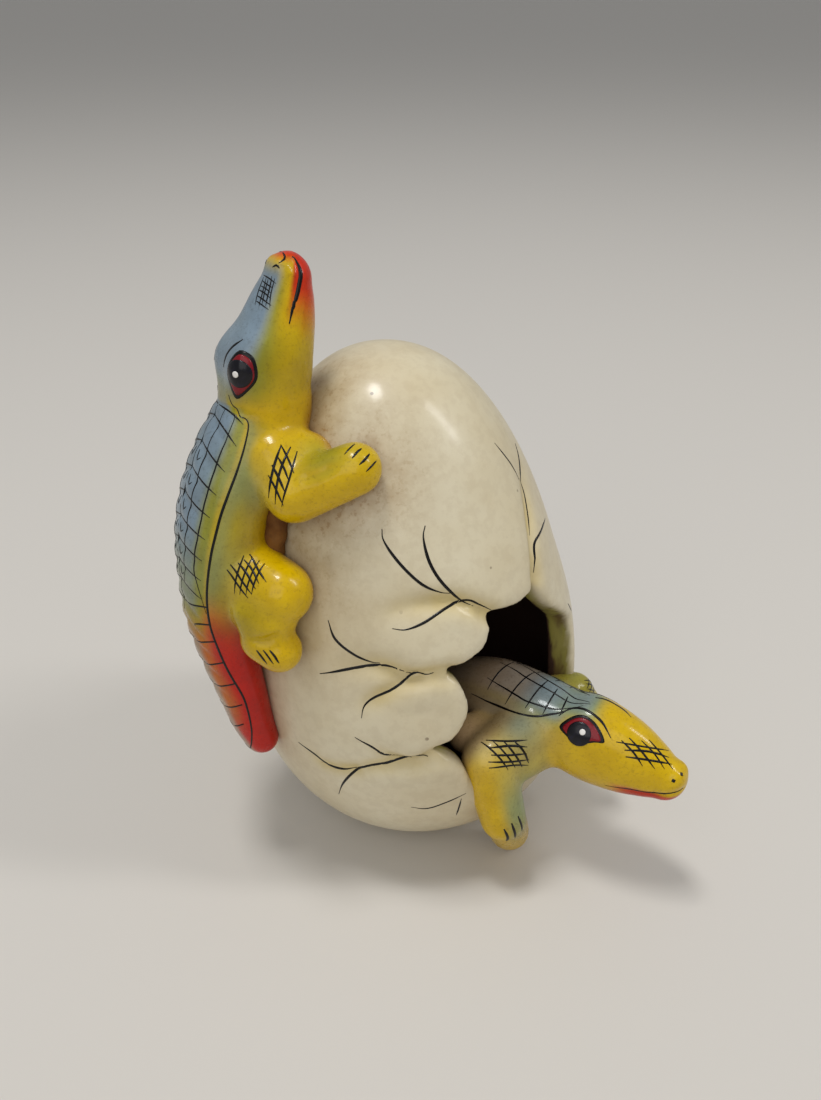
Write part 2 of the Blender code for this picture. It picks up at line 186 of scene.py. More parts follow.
def remeshed(obj, voxel):
    modifier = obj.modifiers.new("remesh", "REMESH")
    modifier.mode = "VOXEL"
    modifier.voxel_size = voxel * MM
    return applied(obj)


def relaxed(mesh, points, rounds, weight=1.0, amount=0.5):
    """Points drawn towards the mean of their neighbours, by a weight for each."""
    edges = np.empty(len(mesh.edges) * 2, np.int32)
    mesh.edges.foreach_get("vertices", edges)
    a, b = edges.reshape(-1, 2).T
    count = np.bincount(np.concatenate([a, b]), minlength=len(points)).clip(1)
    share = amount * np.broadcast_to(weight, len(points))[:, None]
    for _ in range(rounds):
        total = [np.bincount(a, axis[b], len(axis)) + np.bincount(b, axis[a], len(axis)) for axis in points.T]
        total = np.stack(total, 1)
        points = points + share * (total / count[:, None] - points)
    return points


def filled(mesh, points, rounds, weight=0.9):
    """Points with the folds where bodies meet filled smoothly, and the rest left as it is."""
    for _ in range(rounds):
        pulled = relaxed(mesh, points, 1, amount=1.0) - points
        set_points(mesh, points)
        normals = normals_of(mesh)
        out = (pulled * normals).sum(1).clip(0, None)
        points = points + normals * (weight * out)[:, None]
    return points


def curve(p0, p1, p2, p3, steps):
    """Points from p1 towards p2 on the smooth curve through four points, or through rows of them."""
    found = [0.5 * (2 * p1 + (p2 - p0) * t + (2 * p0 - 5 * p1 + 4 * p2 - p3) * t * t
                    + (3 * p1 - p0 - 3 * p2 + p3) * t**3) for t in np.arange(steps) / steps]
    return np.stack(found, 1).reshape(-1, p1.shape[-1])


def between(stations, steps):
    """Stations spaced along the smooth curve through the given ones."""
    given = np.asarray(stations, float)
    padded = np.vstack([2 * given[0] - given[1], given, 2 * given[-1] - given[-2]])
    return np.vstack([curve(padded[:-3], padded[1:-2], padded[2:-1], padded[3:], steps), given[-1]])


def ring_faces(rings, sides, start=1):
    faces = []
    last = start + rings * sides
    for j in range(sides):
        k = (j + 1) % sides
        faces.append((0, start + k, start + j))
        faces.append((last, last - sides + j, last - sides + k))
    for i in range(rings - 1):
        for j in range(sides):
            k = (j + 1) % sides
            a, b = start + i * sides, start + (i + 1) * sides
            faces.append((a + j, a + k, b + k, b + j))
    return faces


class Spine:
    """The line down the middle of a body, with its back's direction.

    A place on the body is (mm from the line's start, degrees from the middle of the back).
    """

    def __init__(self, stations, up_of, steps=10):
        path = between(stations, steps)
        self.centre = path[:, :3]
        self.size = path[:, 3:]
        along = np.gradient(self.centre, axis=0)
        self.along = along / np.linalg.norm(along, axis=1)[:, None]
        up = np.array([up_of(c) for c in self.centre])
        side = np.cross(up, self.along)
        self.side = side / np.linalg.norm(side, axis=1)[:, None]
        self.up = np.cross(self.along, self.side)
        steps_long = np.linalg.norm(np.diff(self.centre, axis=0), axis=1)
        self.at = np.concatenate([[0], np.cumsum(steps_long)])

    def frame(self, at):
        return [np.array([np.interp(at, self.at, v[:, k]) for k in range(3)])
                for v in (self.centre, self.along, self.side, self.up)]

    def locate(self, points):
        points = np.atleast_2d(points)
        nearest = np.empty(len(points), int)
        for start in range(0, len(points), 4000):
            block = points[start:start + 4000]
            nearest[start:start + 4000] = ((block[:, None] - self.centre[None]) ** 2).sum(2).argmin(1)
        away = points - self.centre[nearest]
        at = self.at[nearest] + (away * self.along[nearest]).sum(1)
        angle = np.degrees(np.arctan2((away * self.side[nearest]).sum(1), (away * self.up[nearest]).sum(1)))
        return at, angle

    def cast(self, tree, at, angle, reach=22.0):
        """The surface's point and normal at a place."""
        centre, along, side, up = self.frame(at)
        turn = math.radians(angle)
        away = side * math.sin(turn) + up * math.cos(turn)
        centre = centre + along * min(at, 0.0) + along * max(at - self.at[-1], 0.0)
        point, normal, _, _ = tree.ray_cast(Vector(centre + away * reach), Vector(-away), 2 * reach)
        if point is None:
            point, normal, _, _ = tree.find_nearest(Vector(centre + away * 8))
        return np.array(point), np.array(normal)


def tube(stations, up_of, sides=28, steps=6, cap=5):
    """Points and faces of a closed round-ended body."""
    spine = Spine(stations, up_of, steps)
    rings = []
    for end, sign in ((0, -1), (-1, 1)):
        wide, thick = spine.size[end]
        for angle in np.radians(np.linspace(90, 0, cap, endpoint=False)[1:]):
            rings.append((end, sign * math.sin(angle) * min(wide, thick), math.cos(angle)))
    caps = len(rings) // 2
    ordered = rings[:caps] + [(i, 0.0, 1.0) for i in range(len(spine.at))] + rings[caps:][::-1]
    first, last = spine.centre[0], spine.centre[-1]
    points = [first - spine.along[0] * min(spine.size[0])]
    turns = 2 * np.pi * np.arange(sides) / sides
    for i, shift, scale in ordered:
        wide, thick = spine.size[i] * scale
        middle = spine.centre[i] + spine.along[i] * shift
        points += list(middle + np.outer(np.cos(turns) * wide, spine.side[i])
                       + np.outer(np.sin(turns) * thick, spine.up[i]))
    points.append(last + spine.along[-1] * min(spine.size[-1]))
    return np.array(points), ring_faces(len(ordered), sides)


def joined(name, solids):
    points, faces, start = [], [], 0
    for solid_points, solid_faces in solids:
        points.append(solid_points)
        faces += [tuple(i + start for i in face) for face in solid_faces]
        start += len(solid_points)
    return object_from(name, np.vstack(points), faces)


def around_egg(azimuth, radius, height):
    angle = math.radians(azimuth)
    return np.array([radius * math.sin(angle) - LEAN * height, -radius * math.cos(angle), height])


def outwards(point):
    return np.array([point[0] + LEAN * point[2], point[1], 0.0])


def upwards(_):
    return np.array([0.0, 0.0, 1.0])


def across(_):
    """A direction that no limb runs along."""
    return np.array([0.31, 0.17, 0.93])


def mirrored(chain, azimuth):
    angle = math.radians(azimuth)
    normal = np.array([math.cos(angle), math.sin(angle), 0])
    copies = []
    for segment in chain:
        copy = []
        for x, y, z, radius in segment:
            point = np.array([x + LEAN * z, y, 0.0])
            point -= 2 * point.dot(normal) * normal
            copy.append((point[0] - LEAN * z, point[1], z, radius))
        copies.append(copy)
    return copies


def mirrored_place(place, azimuth):
    return mirrored([[(*place, 0.0)]], azimuth)[0][0][:3]


CLIMBER_LIMBS = (CLIMBER_ARM, mirrored(CLIMBER_ARM, ARM_AZIMUTH),
                 CLIMBER_LEG, mirrored(CLIMBER_LEG, LEG_AZIMUTH))


def limb(chain):
    return [tube([(*s, s[3]) for s in segment], across, steps=4) for segment in chain]


# ---- Node materials -----------------------------------------------------------------------------


class Paint:
    """A Principled material built from nodes, in object coordinates."""

    def __init__(self, name):
        self.material = bpy.data.materials.new(name)
        self.material.use_nodes = True
        self.tree = self.material.node_tree
        self.shader = self.tree.nodes["Principled BSDF"]
        self.place = self.tree.nodes.new("ShaderNodeTexCoord").outputs["Object"]

    def link(self, value, socket):
        """Gives a socket a number, a colour or another node's output."""
        if isinstance(value, (int, float, tuple)):
            socket.default_value = value
        elif isinstance(value, np.ndarray):
            socket.default_value = (*value, 1.0)
        else:
            self.tree.links.new(value, socket)

    def node(self, kind, **inputs):
        node = self.tree.nodes.new("ShaderNode" + kind)
        for name, value in inputs.items():
            self.link(value, node.inputs[name.replace("_", " ")])
        return node

    def attribute(self, name, colour=False):
        node = self.node("Attribute")
        node.attribute_name = name
        return node.outputs["Color" if colour else "Fac"]

    def noise(self, scale, detail=3.0, roughness=0.5, stretch=None):
        place = self.place
        if stretch:
            place = self.node("Mapping", Vector=place, Scale=stretch).outputs["Vector"]
        node = self.node("TexNoise", Vector=place, Scale=scale, Detail=detail, Roughness=roughness)
        return node.outputs["Fac"]

    def cells(self, scale):
        return self.node("TexVoronoi", Vector=self.place, Scale=scale).outputs["Distance"]

    def ramp(self, value, low, high, to_low=0.0, to_high=1.0):
        node = self.node("MapRange", Value=value, From_Min=low, From_Max=high, To_Min=to_low, To_Max=to_high)
        node.interpolation_type = "SMOOTHSTEP"
        return node.outputs["Result"]

    def clouds(self, scale, detail, low, high, to_low=0.0, to_high=1.0, roughness=0.5):
        """Noise between two limits."""
        return self.ramp(self.noise(scale, detail, roughness), low, high, to_low, to_high)

    def maths(self, operation, a, b):
        node = self.node("Math")
        node.operation = operation
        self.link(a, node.inputs[0])
        self.link(b, node.inputs[1])
        return node.outputs[0]

    def mix(self, factor, a, b, blend="MIX"):
        node = self.node("Mix")
        node.data_type = "RGBA"
        node.blend_type = blend
        self.link(factor, node.inputs["Factor"])
        self.link(a, node.inputs[6])
        self.link(b, node.inputs[7])
        return node.outputs[2]

    def finish(self, colour, roughness, bumps=(), **shader):
        """The material, with bumps as (height, strength, distance in mm) and the shader's own constants."""
        self.link(colour, self.shader.inputs["Base Color"])
        self.link(roughness, self.shader.inputs["Roughness"])
        normal = None
        for height, strength, distance in bumps:
            node = self.node("Bump", Strength=strength, Distance=distance * MM, Height=height)
            if normal:
                self.tree.links.new(normal, node.inputs["Normal"])
            normal = node.outputs["Normal"]
        if normal:
            self.tree.links.new(normal, self.shader.inputs["Normal"])
        for name, value in shader.items():
            self.link(value, self.shader.inputs[name.replace("_", " ")])
        return self.material


# ---- The egg's surface --------------------------------------------------------------------------


def egg_radius(height):
    share = np.clip(np.asarray(height, float) / EGG_HEIGHT, 0, 1)
    below = np.clip((WIDEST_SHARE - share) / WIDEST_SHARE, 0, 1)
    above = np.clip((share - WIDEST_SHARE) / (1 - WIDEST_SHARE), 0, 1)
    low = np.sqrt(1 - below**LOWER_POWER * (1 - (FOOT_RADIUS / EGG_RADIUS) ** 2))
    high = np.maximum(1 - above**UPPER_POWER, 0) ** (1 / UPPER_ROUNDNESS)
    return EGG_RADIUS * np.where(share < WIDEST_SHARE, low, high)


def egg_slope(height, step=0.12):
    low, high = np.maximum(height - step, 0), np.minimum(height + step, EGG_HEIGHT)
    return (egg_radius(high) - egg_radius(low)) / (high - low)


def on_egg(azimuth, height, out=0.0):
    azimuth, height = np.radians(azimuth), np.asarray(height, float)
    slope = egg_slope(height)
    length = np.hypot(1.0, slope)
    radius, level = egg_radius(height) + out / length, height - out * slope / length
    return np.stack([radius * np.sin(azimuth) - LEAN * level, -radius * np.cos(azimuth), level], -1)


def egg_place(points):
    """(azimuth, height, distance out of the surface, outward direction) of points near the egg."""
    x = points[:, 0] + LEAN * points[:, 2]
    y, height = points[:, 1], points[:, 2]
    angle = np.arctan2(x, -y)
    slope = egg_slope(height)
    length = np.hypot(1.0, slope)
    out = (np.hypot(x, y) - egg_radius(height)) / length
    direction = np.stack([np.sin(angle) / length, -np.cos(angle) / length, -slope / length], 1)
    return np.degrees(angle), height, out, direction


def egg_body(out, rings, sides, floor):
    points = [[np.array([-LEAN * floor, 0, floor])]]
    turns = 360 * np.arange(sides) / sides
    for i in range(rings):
        height = EGG_HEIGHT * (1 - math.cos(math.pi * (i + 0.02) / (rings - 0.4))) / 2
        ring = on_egg(turns, np.full(sides, height), out)
        ring[:, 2] = np.maximum(ring[:, 2], floor)
        points.append(ring)
    points.append([np.array([-LEAN * EGG_HEIGHT, 0, EGG_HEIGHT + out])])
    return np.vstack(points), ring_faces(rings, sides)


def closed_curve(outline, steps):
    given = np.asarray(outline, float)
    return curve(*(np.roll(given, k, axis=0) for k in (1, 0, -1, -2)), steps)


def flat(azimuth, height):
    """Places on the egg's side as mm on a flat sheet."""
    return np.stack([np.asarray(azimuth) * math.radians(EGG_RADIUS), np.asarray(height)], -1)


def to_polyline(places, line):
    """Distance from each place to an open line, and how far along it the nearest point is, from 0 to 1."""
    lengths = np.linalg.norm(np.diff(line, axis=0), axis=1)
    starts = np.concatenate([[0], np.cumsum(lengths)])
    best = np.full(len(places), 1e9)
    along = np.zeros(len(places))
    for i, (a, b) in enumerate(zip(line, line[1:])):
        t = np.clip(((places - a) @ (b - a)) / max(lengths[i] ** 2, 1e-9), 0, 1)
        away = np.linalg.norm(places - a - t[:, None] * (b - a), axis=1)
        closer = away < best
        best[closer] = away[closer]
        along[closer] = ((starts[i] + t * lengths[i]) / starts[-1])[closer]
    return best, along


def inside(places, loop):
    x, y = places.T
    found = np.zeros(len(places), bool)
    for (ax, ay), (bx, by) in zip(loop, np.roll(loop, -1, axis=0)):
        if ay != by:
            found ^= ((ay > y) != (by > y)) & (x < (bx - ax) * (y - ay) / (by - ay) + ax)
    return found


HOLE_LOOP = flat(*closed_curve(HOLE, 6).T)


def from_hole(places):
    """Distance from the hole's edge, negative inside it."""
    away, _ = to_polyline(places, np.vstack([HOLE_LOOP, HOLE_LOOP[:1]]))
    return np.where(inside(places, HOLE_LOOP), -away, away)


def shell_places(points):
    """(azimuth, height, distance out, outward direction, distance from the hole, place on a flat sheet)."""
    azimuth, height, out, direction = egg_place(points)
    places = flat(azimuth, height)
    return azimuth, height, out, direction, from_hole(places), places


# The shell near the hole: how far the flaps swell and how wide a band does so, and how wide and deep their
# edges are rounded, which is less on the raw broken side.
SWELL, SWELL_REACH = 1.3, 22.0
EDGE_ROUND, RAW_EDGE_ROUND = np.array([3.4, 1.6]), np.array([1.2, 0.5])


def make_shell():
    """The hollow broken egg, its flaps swollen and their edges rounded."""
    shell = joined("eggshell", [egg_body(0.0, 60, 120, 0.0)])
    cavity = joined("cavity", [egg_body(-WALL, 40, 80, WALL)])
    edge = closed_curve(HOLE, 6)[::-1]
    middle = edge.mean(0)
    near, far = on_egg(*edge.T, -12.0), on_egg(*edge.T, 10.0)
    block = np.vstack([on_egg(*middle, -12.0)[None], near, far, on_egg(*middle, 10.0)[None]])
    hole = object_from("hole", block, ring_faces(2, len(edge)))
    for cutter in (cavity, hole):
        modifier = shell.modifiers.new("cut", "BOOLEAN")
        modifier.operation = "DIFFERENCE"
        modifier.solver = "EXACT"
        modifier.object = cutter
    applied(shell)
    for cutter in (cavity, hole):
        bpy.data.objects.remove(cutter)
    remeshed(shell, SHELL_VOXEL)
    mesh = shell.data
    points = points_of(mesh)
    rim = smooth(4.0, 0.5, np.abs(shell_places(points)[4]))
    points = relaxed(mesh, points, 6, 0.15 + 0.85 * rim)
    azimuth, height, out, direction, edge_away, places = shell_places(points)
    relief = np.zeros(len(points))
    crease = np.zeros(len(points))
    for depth, width, line in CREASES:
        line = flat(*between(line, 6).T)
        away, along = to_polyline(places, line)
        fade = 1 - smooth(0.35, 1.0, along)
        spread = width * (0.7 + 0.5 * along)
        shape = np.exp(-(away / spread) ** 1.6 * 1.6)
        relief -= depth * fade * shape
        crease = np.maximum(crease, fade * np.exp(-(away / (0.8 * width)) ** 2))
    relief += SWELL * smooth(SWELL_REACH, 0.0, edge_away)
    broken = smooth(56, 66, azimuth) * smooth(27, 32, height)
    wide, deep = EDGE_ROUND[:, None] + (RAW_EDGE_ROUND - EDGE_ROUND)[:, None] * broken
    roll = np.clip(1 - edge_away / wide, 0, 1)
    relief -= deep * (1 - np.sqrt(np.maximum(1 - roll**2, 0)))
    outer = smooth(-2.2, -0.7, out) * smooth(0.4, 2.5, height) * smooth(-0.5, 0.6, edge_away)
    points += direction * ((relief - out) * outer)[:, None]
    points = relaxed(mesh, points, 3, rim)
    points[:, 2] = np.maximum(points[:, 2], 0.0)
    set_points(mesh, points)
    inner = np.maximum(smooth(-1.6, -3.2, out), smooth(0.6, -0.6, edge_away) * smooth(-0.6, -2.0, out))
    inner = np.maximum(inner, broken * smooth(2.2, 1.2, edge_away) * smooth(-0.4, -1.2, out))
    attribute(mesh, "crease", crease)
    attribute(mesh, "inner", inner)
    # How far into the wall a point lies, 1 on the inner wall: the mask for the painted shade inside the
    # hollow egg.
    attribute(mesh, "deep", smooth(-2.6, -5.4, out))
    return shell


# ---- The crocodiles -----------------------------------------------------------------------------


climber_stations = [(*around_egg(a, r, h), w, t) for a, r, h, w, t in CLIMBER]
climber_spine = Spine(climber_stations, outwards)
hatchling_spine = Spine(HATCHLING, upwards)


def tree_of(mesh):
    faces = [tuple(face.vertices) for face in mesh.polygons]
    return BVHTree.FromPolygons([tuple(point) for point in points_of(mesh)], faces)


def mound(points, normals, centre, axes, sizes, height):
    """Points moved out by a smooth mound round a centre, with half sizes along three axes."""
    local = np.stack([(points - centre) @ axis / size for axis, size in zip(axes, sizes)], 1)
    return points + normals * (height * np.exp(-((local**2).sum(1))))[:, None]


def mounds_on(points, normals, spine, tree, mounds):
    """Mounds as (mm along the spine, degrees, half length, half width, height), on both sides of the back."""
    for at, angle, long, wide, height in mounds:
        for turn in sorted({angle, -angle}):
            centre, normal = spine.cast(tree, at, turn)
            _, along, _, _ = spine.frame(at)
            side = np.cross(normal, along)
            points = mound(points, normals, centre, (along, side / np.linalg.norm(side), normal),
                           (long, wide, 4.0), height)
    return points


CLIMBER_MOUNDS = [(16.5, 32, 5.5, 3.4, 1.5), (18.0, 40, 3.4, 2.6, 0.5), (-3.2, 28, 1.8, 1.6, 0.7),
                  (2.0, 46, 7.0, 1.6, 0.4), (20.0, 0, 2.5, 3.5, -0.5)]
HATCHLING_MOUNDS = [(20.5, 42, 5.0, 3.6, 0.8), (20.0, 14, 4.0, 2.4, 0.5), (-2.6, 26, 1.6, 1.5, 0.6),
                    (24.5, 0, 2.5, 3.0, -0.5)]
CLIMBER_MOUTH = [(-4.4, 40), (-3.9, 73), (-2.1, 87), (1.2, 86), (6.5, 86), (9, 88)]
HATCHLING_MOUTH = [(-4.6, 52), (-3.4, 80), (1.2, 109), (6, 117), (10.5, 125)]
ANKLE = [(-33.4, -38.0, 71.6), (-31.2, -39.6, 71.8), (-28.6, -39.4, 72.6), (-26.4, -38.0, 73.2)]
ELBOW = [(-21.6, -30.6, 104.2), (-18.6, -31.2, 105.6), (-15.4, -31.0, 107.6)]
CLIMBER_DENTS = [(0.8, 0.9, ANKLE), (0.8, 0.9, [mirrored_place(p, LEG_AZIMUTH) for p in ANKLE]),
                 (0.5, 1.0, ELBOW), (0.5, 1.0, [mirrored_place(p, ARM_AZIMUTH) for p in ELBOW])]

# The lines across the climber's back, in mm along its spine.
RUNGS = [24.5, 28.2, 32.4, 36.8, 41.2, 45.6, 50, 54.4, 58.8, 63.2, 67.5, 71.5, 75.5, 81, 87, 93, 98.5]


def spine_line(spine, tree, line, flip=1):
    """Points and normals of the surface under a smooth line of (mm along the spine, degrees)."""
    found = [spine.cast(tree, at, flip * angle) for at, angle in between(line, 12)]
    return tuple(np.array(part) for part in zip(*found))


def pressed(points, normals, spine, tree, line, depth, width):
    """Points pressed in along a line on both sides, as a mouth is."""
    for flip in (1, -1):
        groove, _ = spine_line(spine, tree, line, flip=flip)
        away, along = to_polyline(points, groove)
        fade = smooth(1.0, 0.6, along)
        points = points - normals * (depth * fade * np.exp(-((away / width) ** 2)))[:, None]
    return points


def dented(points, normals, _, tree, dents):
    """Points pressed in along lines given in space, as (depth, half width, line)."""
    for depth, width, line in dents:
        line = np.array([tuple(tree.find_nearest(Vector(p))[0]) for p in between(line, 6)])
        away, along = to_polyline(points, line)
        fade = smooth(1.0, 0.6, along)
        points = points - normals * (depth * fade * np.exp(-((away / width) ** 2)))[:, None]
    return points


def scales(points, normals, spine):
    """Points raised a little between the rungs down the back."""
    at, angle = spine.locate(points)
    lag = at - 0.07 * np.abs(angle)
    cell = np.interp(lag, RUNGS, np.arange(len(RUNGS)))
    arch = np.abs(np.sin(np.pi * cell)) ** 0.6
    fade = smooth(52, 30, np.abs(angle)) * smooth(23, 27, at) * smooth(99, 80, at)
    return points + normals * (0.55 * (arch - 0.5) * fade)[:, None]


def make_skin(name, stations, up_of, chains, spine, mounds, mouth, dents):
    """A crocodile as one skin: body and limbs melted together, then mounds, a mouth and dents worked in."""
    solids = [tube(stations, up_of, sides=44)]
    for chain in chains:
        solids += limb(chain)
    skin = remeshed(joined(name, solids), SKIN_VOXEL)
    mesh = skin.data
    points = relaxed(mesh, points_of(mesh), 9)
    set_points(mesh, relaxed(mesh, filled(mesh, points, 36), 3))
    for relief, shapes in ((mounds_on, (mounds,)), (pressed, (mouth, 0.45, 0.7)), (dented, (dents,))):
        set_points(mesh, relief(points_of(mesh), normals_of(mesh), spine, tree_of(mesh), *shapes))
    if spine is climber_spine:
        set_points(mesh, scales(points_of(mesh), normals_of(mesh), spine))
    set_points(mesh, relaxed(mesh, points_of(mesh), 2))
    return skin


YELLOW = rgb(212, 175, 0)
GOLD = rgb(190, 150, 0)
BLUE = rgb(122, 140, 154)
AQUA = rgb(128, 146, 104)
RED = rgb(186, 20, 0)
ORANGE = rgb(190, 104, 10)
PALE = rgb(160, 160, 140)
# Bare clay brown with painted shade in it, for the body inside the egg.
CLAY_AND_SHADE_BROWN = rgb(172, 142, 106)
OLIVE = rgb(150, 138, 18)
MOSS = rgb(134, 138, 48)
TOMATO = rgb(204, 52, 6)
OCHRE = rgb(170, 118, 28)
SKY = rgb(124, 132, 112)
CHALK = rgb(214, 200, 140)

# The painted border of the climber's scales and the line halfway up to it, as places on the spine.
BACK_EDGE = [(18, 6), (21.3, 20), (24, 31), (27.2, 44), (31, 55), (36.5, 66), (42.6, 67), (49.6, 64),
             (55.4, 60), (65, 56), (74.7, 62), (83.9, 66), (91.8, 72), (99.5, 62), (103.5, 38), (106, 5)]
BACK_MIDDLE = [(26, 27), (34.6, 39), (40.6, 43), (48.8, 44), (56.4, 39), (60.2, 39), (63.6, 45), (68.5, 55)]


class Coat:
    """Colours sprayed over a skin one after another, each with a weight for every point."""

    def __init__(self, points):
        self.points = points
        self.colours = np.tile(YELLOW, (len(points), 1))

    def spray(self, colour, weight):
        self.colours += (colour - self.colours) * np.clip(weight, 0, 1)[:, None]

    def spot(self, colour, strength, place, radius, shade=1.0):
        """Sprays round a place, with a soft edge."""
        away = ((self.points - np.array(place)) ** 2).sum(1)
        self.spray(colour, strength * np.exp(-away / radius**2) * shade)


def limb_share(points, chains, spine):
    """1 on the limbs and 0 on the body, with a soft change between."""
    to_limb = np.full(len(points), 99.0)
    for chain in chains:
        for first, last in chain:
            line = np.array([first[:3], last[:3]], float)
            away, along = to_polyline(points, line)
            to_limb = np.minimum(to_limb, away - (first[3] + (last[3] - first[3]) * along))
    at, angle = spine.locate(points)
    index = np.clip(np.searchsorted(spine.at, at), 0, len(spine.at) - 1)
    wide, thick = spine.size[index].T
    turn = np.radians(angle)
    edge = wide * thick / np.hypot(thick * np.sin(turn), wide * np.cos(turn))
    away = np.linalg.norm(points - spine.centre[index], axis=1) - edge
    return smooth(-0.8, 1.6, away - to_limb)


def colour_climber(mesh):
    points, normals = points_of(mesh), normals_of(mesh)
    at, angle = climber_spine.locate(points)
    turn = np.abs(angle)
    body = 1 - limb_share(points, CLIMBER_LIMBS, climber_spine)
    share = turn / np.maximum(np.interp(at, *np.array(BACK_EDGE).T), 1)
    coat = Coat(points)
    spray = coat.spray
    spray(GOLD, 0.6 * smooth(95, 150, turn) * body)

    head = smooth(24, 18, at)
    behind_eye = smooth(15, 22, at) * smooth(24, 44, turn)
    spray(OLIVE, 0.75 * head * smooth(92, 66, turn) * smooth(4, 15, at))
    spray(OLIVE, 0.4 * head * smooth(3, 14, at))
    spray(MOSS, head * smooth(74, 52, turn) * smooth(-6, 2, at) * 0.8)
    spray(BLUE, head * smooth(58, 38, turn) * smooth(-4, 0, at) * (1 - 0.8 * behind_eye))

    trunk = smooth(19, 26, at) * smooth(78, 66, at) * body
    spray(OLIVE, 0.7 * trunk * smooth(0.9, 1.05, share) * smooth(2.0, 1.1, share))
    spray(AQUA, 0.42 * trunk * smooth(0.96, 1.03, share) * smooth(1.3, 1.08, share))
    spray(MOSS, 0.9 * trunk * smooth(1.0, 0.86, share))
    spray(BLUE, trunk * smooth(0.8, 0.52, share) * (1 - 0.45 * smooth(50, 64, at)))

    past = at - 68.5 - 7 * smooth(1.1, 0.6, share)
    pale_back = 0.85 * smooth(0.98, 0.5, share) * smooth(102, 92, at)
    spray(OLIVE, smooth(-9, -3, past) * body * smooth(1.04, 0.9, share))
    spray(ORANGE, smooth(-7, 2, past) * body)
    spray(RED, smooth(-3, 7, past) * body * (1 - pale_back))
    spray(PALE, smooth(-6, 3, past) * body * 0.7 * smooth(34, 10, turn))

    lips = smooth(9, 0, at) * smooth(70, 84, turn)
    throat = smooth(11, 0, at) * smooth(92, 112, turn)
    tip = smooth(-3.0, -5.0, at)
    spray(TOMATO, np.maximum(np.maximum(lips, throat), tip))
    spray(RED, 0.5 * smooth(3, -4, at) * smooth(66, 92, turn))

    for chain in CLIMBER_LIMBS[:2]:
        middle = np.array(chain[1][0][:3]) * 0.42 + np.array(chain[1][1][:3]) * 0.58
        coat.spot(MOSS, 0.85, middle + [0, 0, 4.5], 6.0, smooth(0.1, 0.7, normals[:, 2]))
        coat.spot(AQUA, 0.8, chain[0][0][:3] + np.array([-4.5, -4.0, -3.5]), 5.5)
    for chain in CLIMBER_LIMBS[2:]:
        hip, shin, foot = chain[0][0][:3], chain[1][0][:3], chain[2][1][:3]
        coat.spot(AQUA, 0.85, hip + np.array([-2.5, -1.0, 2.5]), 7.0, smooth(1.9, 1.0, share))
        coat.spot(OLIVE, 0.75, shin + np.array([-1.5, -2.5, -0.5]), 6.5)
        coat.spot(GOLD, 0.7, foot, 5.0)
    out = egg_place(points)[2]
    spray(OCHRE, 0.75 * smooth(4.5, 0.3, out) * smooth(72, 64, at) * smooth(20, 26, at))
    attribute(mesh, "paint", coat.colours)


def colour_hatchling(mesh):
    points, normals = points_of(mesh), normals_of(mesh)
    at, angle = hatchling_spine.locate(points)
    turn = np.abs(angle)
    body = 1 - limb_share(points, HATCHLING_LIMBS, hatchling_spine)
    coat = Coat(points)
    spray = coat.spray
    spray(GOLD, 0.5 * smooth(105, 150, turn) * body)

    behind = smooth(26, 33, at) * body
    back = smooth(21, 28, at) * body
    neck = smooth(30, 24, at)
    spray(AQUA, 0.9 * behind * smooth(118, 76, turn))
    spray(BLUE, 0.45 * behind * smooth(48, 66, turn) * smooth(104, 84, turn))
    spray(MOSS, 0.85 * back * smooth(66, 44, turn))
    spray(BLUE, 0.95 * back * smooth(54, 36, turn))
    spray(AQUA, 0.9 * smooth(15, 19, at) * neck * smooth(46, 20, turn))
    spray(BLUE, 0.7 * smooth(17, 21, at) * neck * smooth(34, 10, turn))
    spray(TOMATO, 0.9 * smooth(11, 5, at) * smooth(106, 116, turn))
    spray(RED, 0.75 * smooth(10, 2, at) * smooth(98, 112, turn))

    shoulder = np.array(HATCHLING_RIGHT_ARM[0][1][:3])
    far_shoulder = np.array(HATCHLING_LEFT_ARM[0][1][:3])
    coat.spot(SKY, 1.0, shoulder + [6.0, 3.0, 6.0], 7.5)
    coat.spot(CHALK, 0.75, shoulder + [-3.0, -1.5, 5.0], 4.2)
    coat.spot(AQUA, 0.95, (22.5, -35, 25.0), 11.0, smooth(-0.2, 0.5, normals[:, 0]))
    coat.spot(MOSS, 0.9, far_shoulder, 9.0)
    coat.spot(AQUA, 0.25, far_shoulder + [-1, 0, 4], 5.0)
    # The body inside the egg and in the hole is browned: bare clay colour and painted shade of the hollow
    # together.
    spray(CLAY_AND_SHADE_BROWN, 0.6 * smooth(37, 44, at))
    coat.spot(CLAY_AND_SHADE_BROWN, 1.0, (10.5, -28.0, 38.0), 6.0)
    out = egg_place(points)[2]
    spray(CLAY_AND_SHADE_BROWN, 0.6 * smooth(0.5, -3.5, out) * smooth(30, 36, at) * smooth(20, 26, points[:, 2]))
    attribute(mesh, "paint", coat.colours)


def make_pads():
    climber_pad = [(*around_egg(a, r, h), w, t) for a, r, h, w, t in CLIMBER_PAD]
    pads = []
    for name, stations, up_of in (("climber_clay_band", climber_pad, outwards),
                                  ("hatchling_clay_band", HATCHLING_PAD, upwards)):
        pad = remeshed(joined(name, [tube(stations, up_of)]), PAD_VOXEL)
        points, normals = points_of(pad.data), normals_of(pad.data)
        wave = np.sin(points[:, 2] * 1.9 + np.sin(points[:, 0] * 1.3) * 2) * np.cos(points[:, 0] * 1.7)
        set_points(pad.data, relaxed(pad.data, points + normals * wave[:, None] * 0.25, 2))
        pads.append(pad)
    return pads


# ---- Painted lines ------------------------------------------------------------------------------


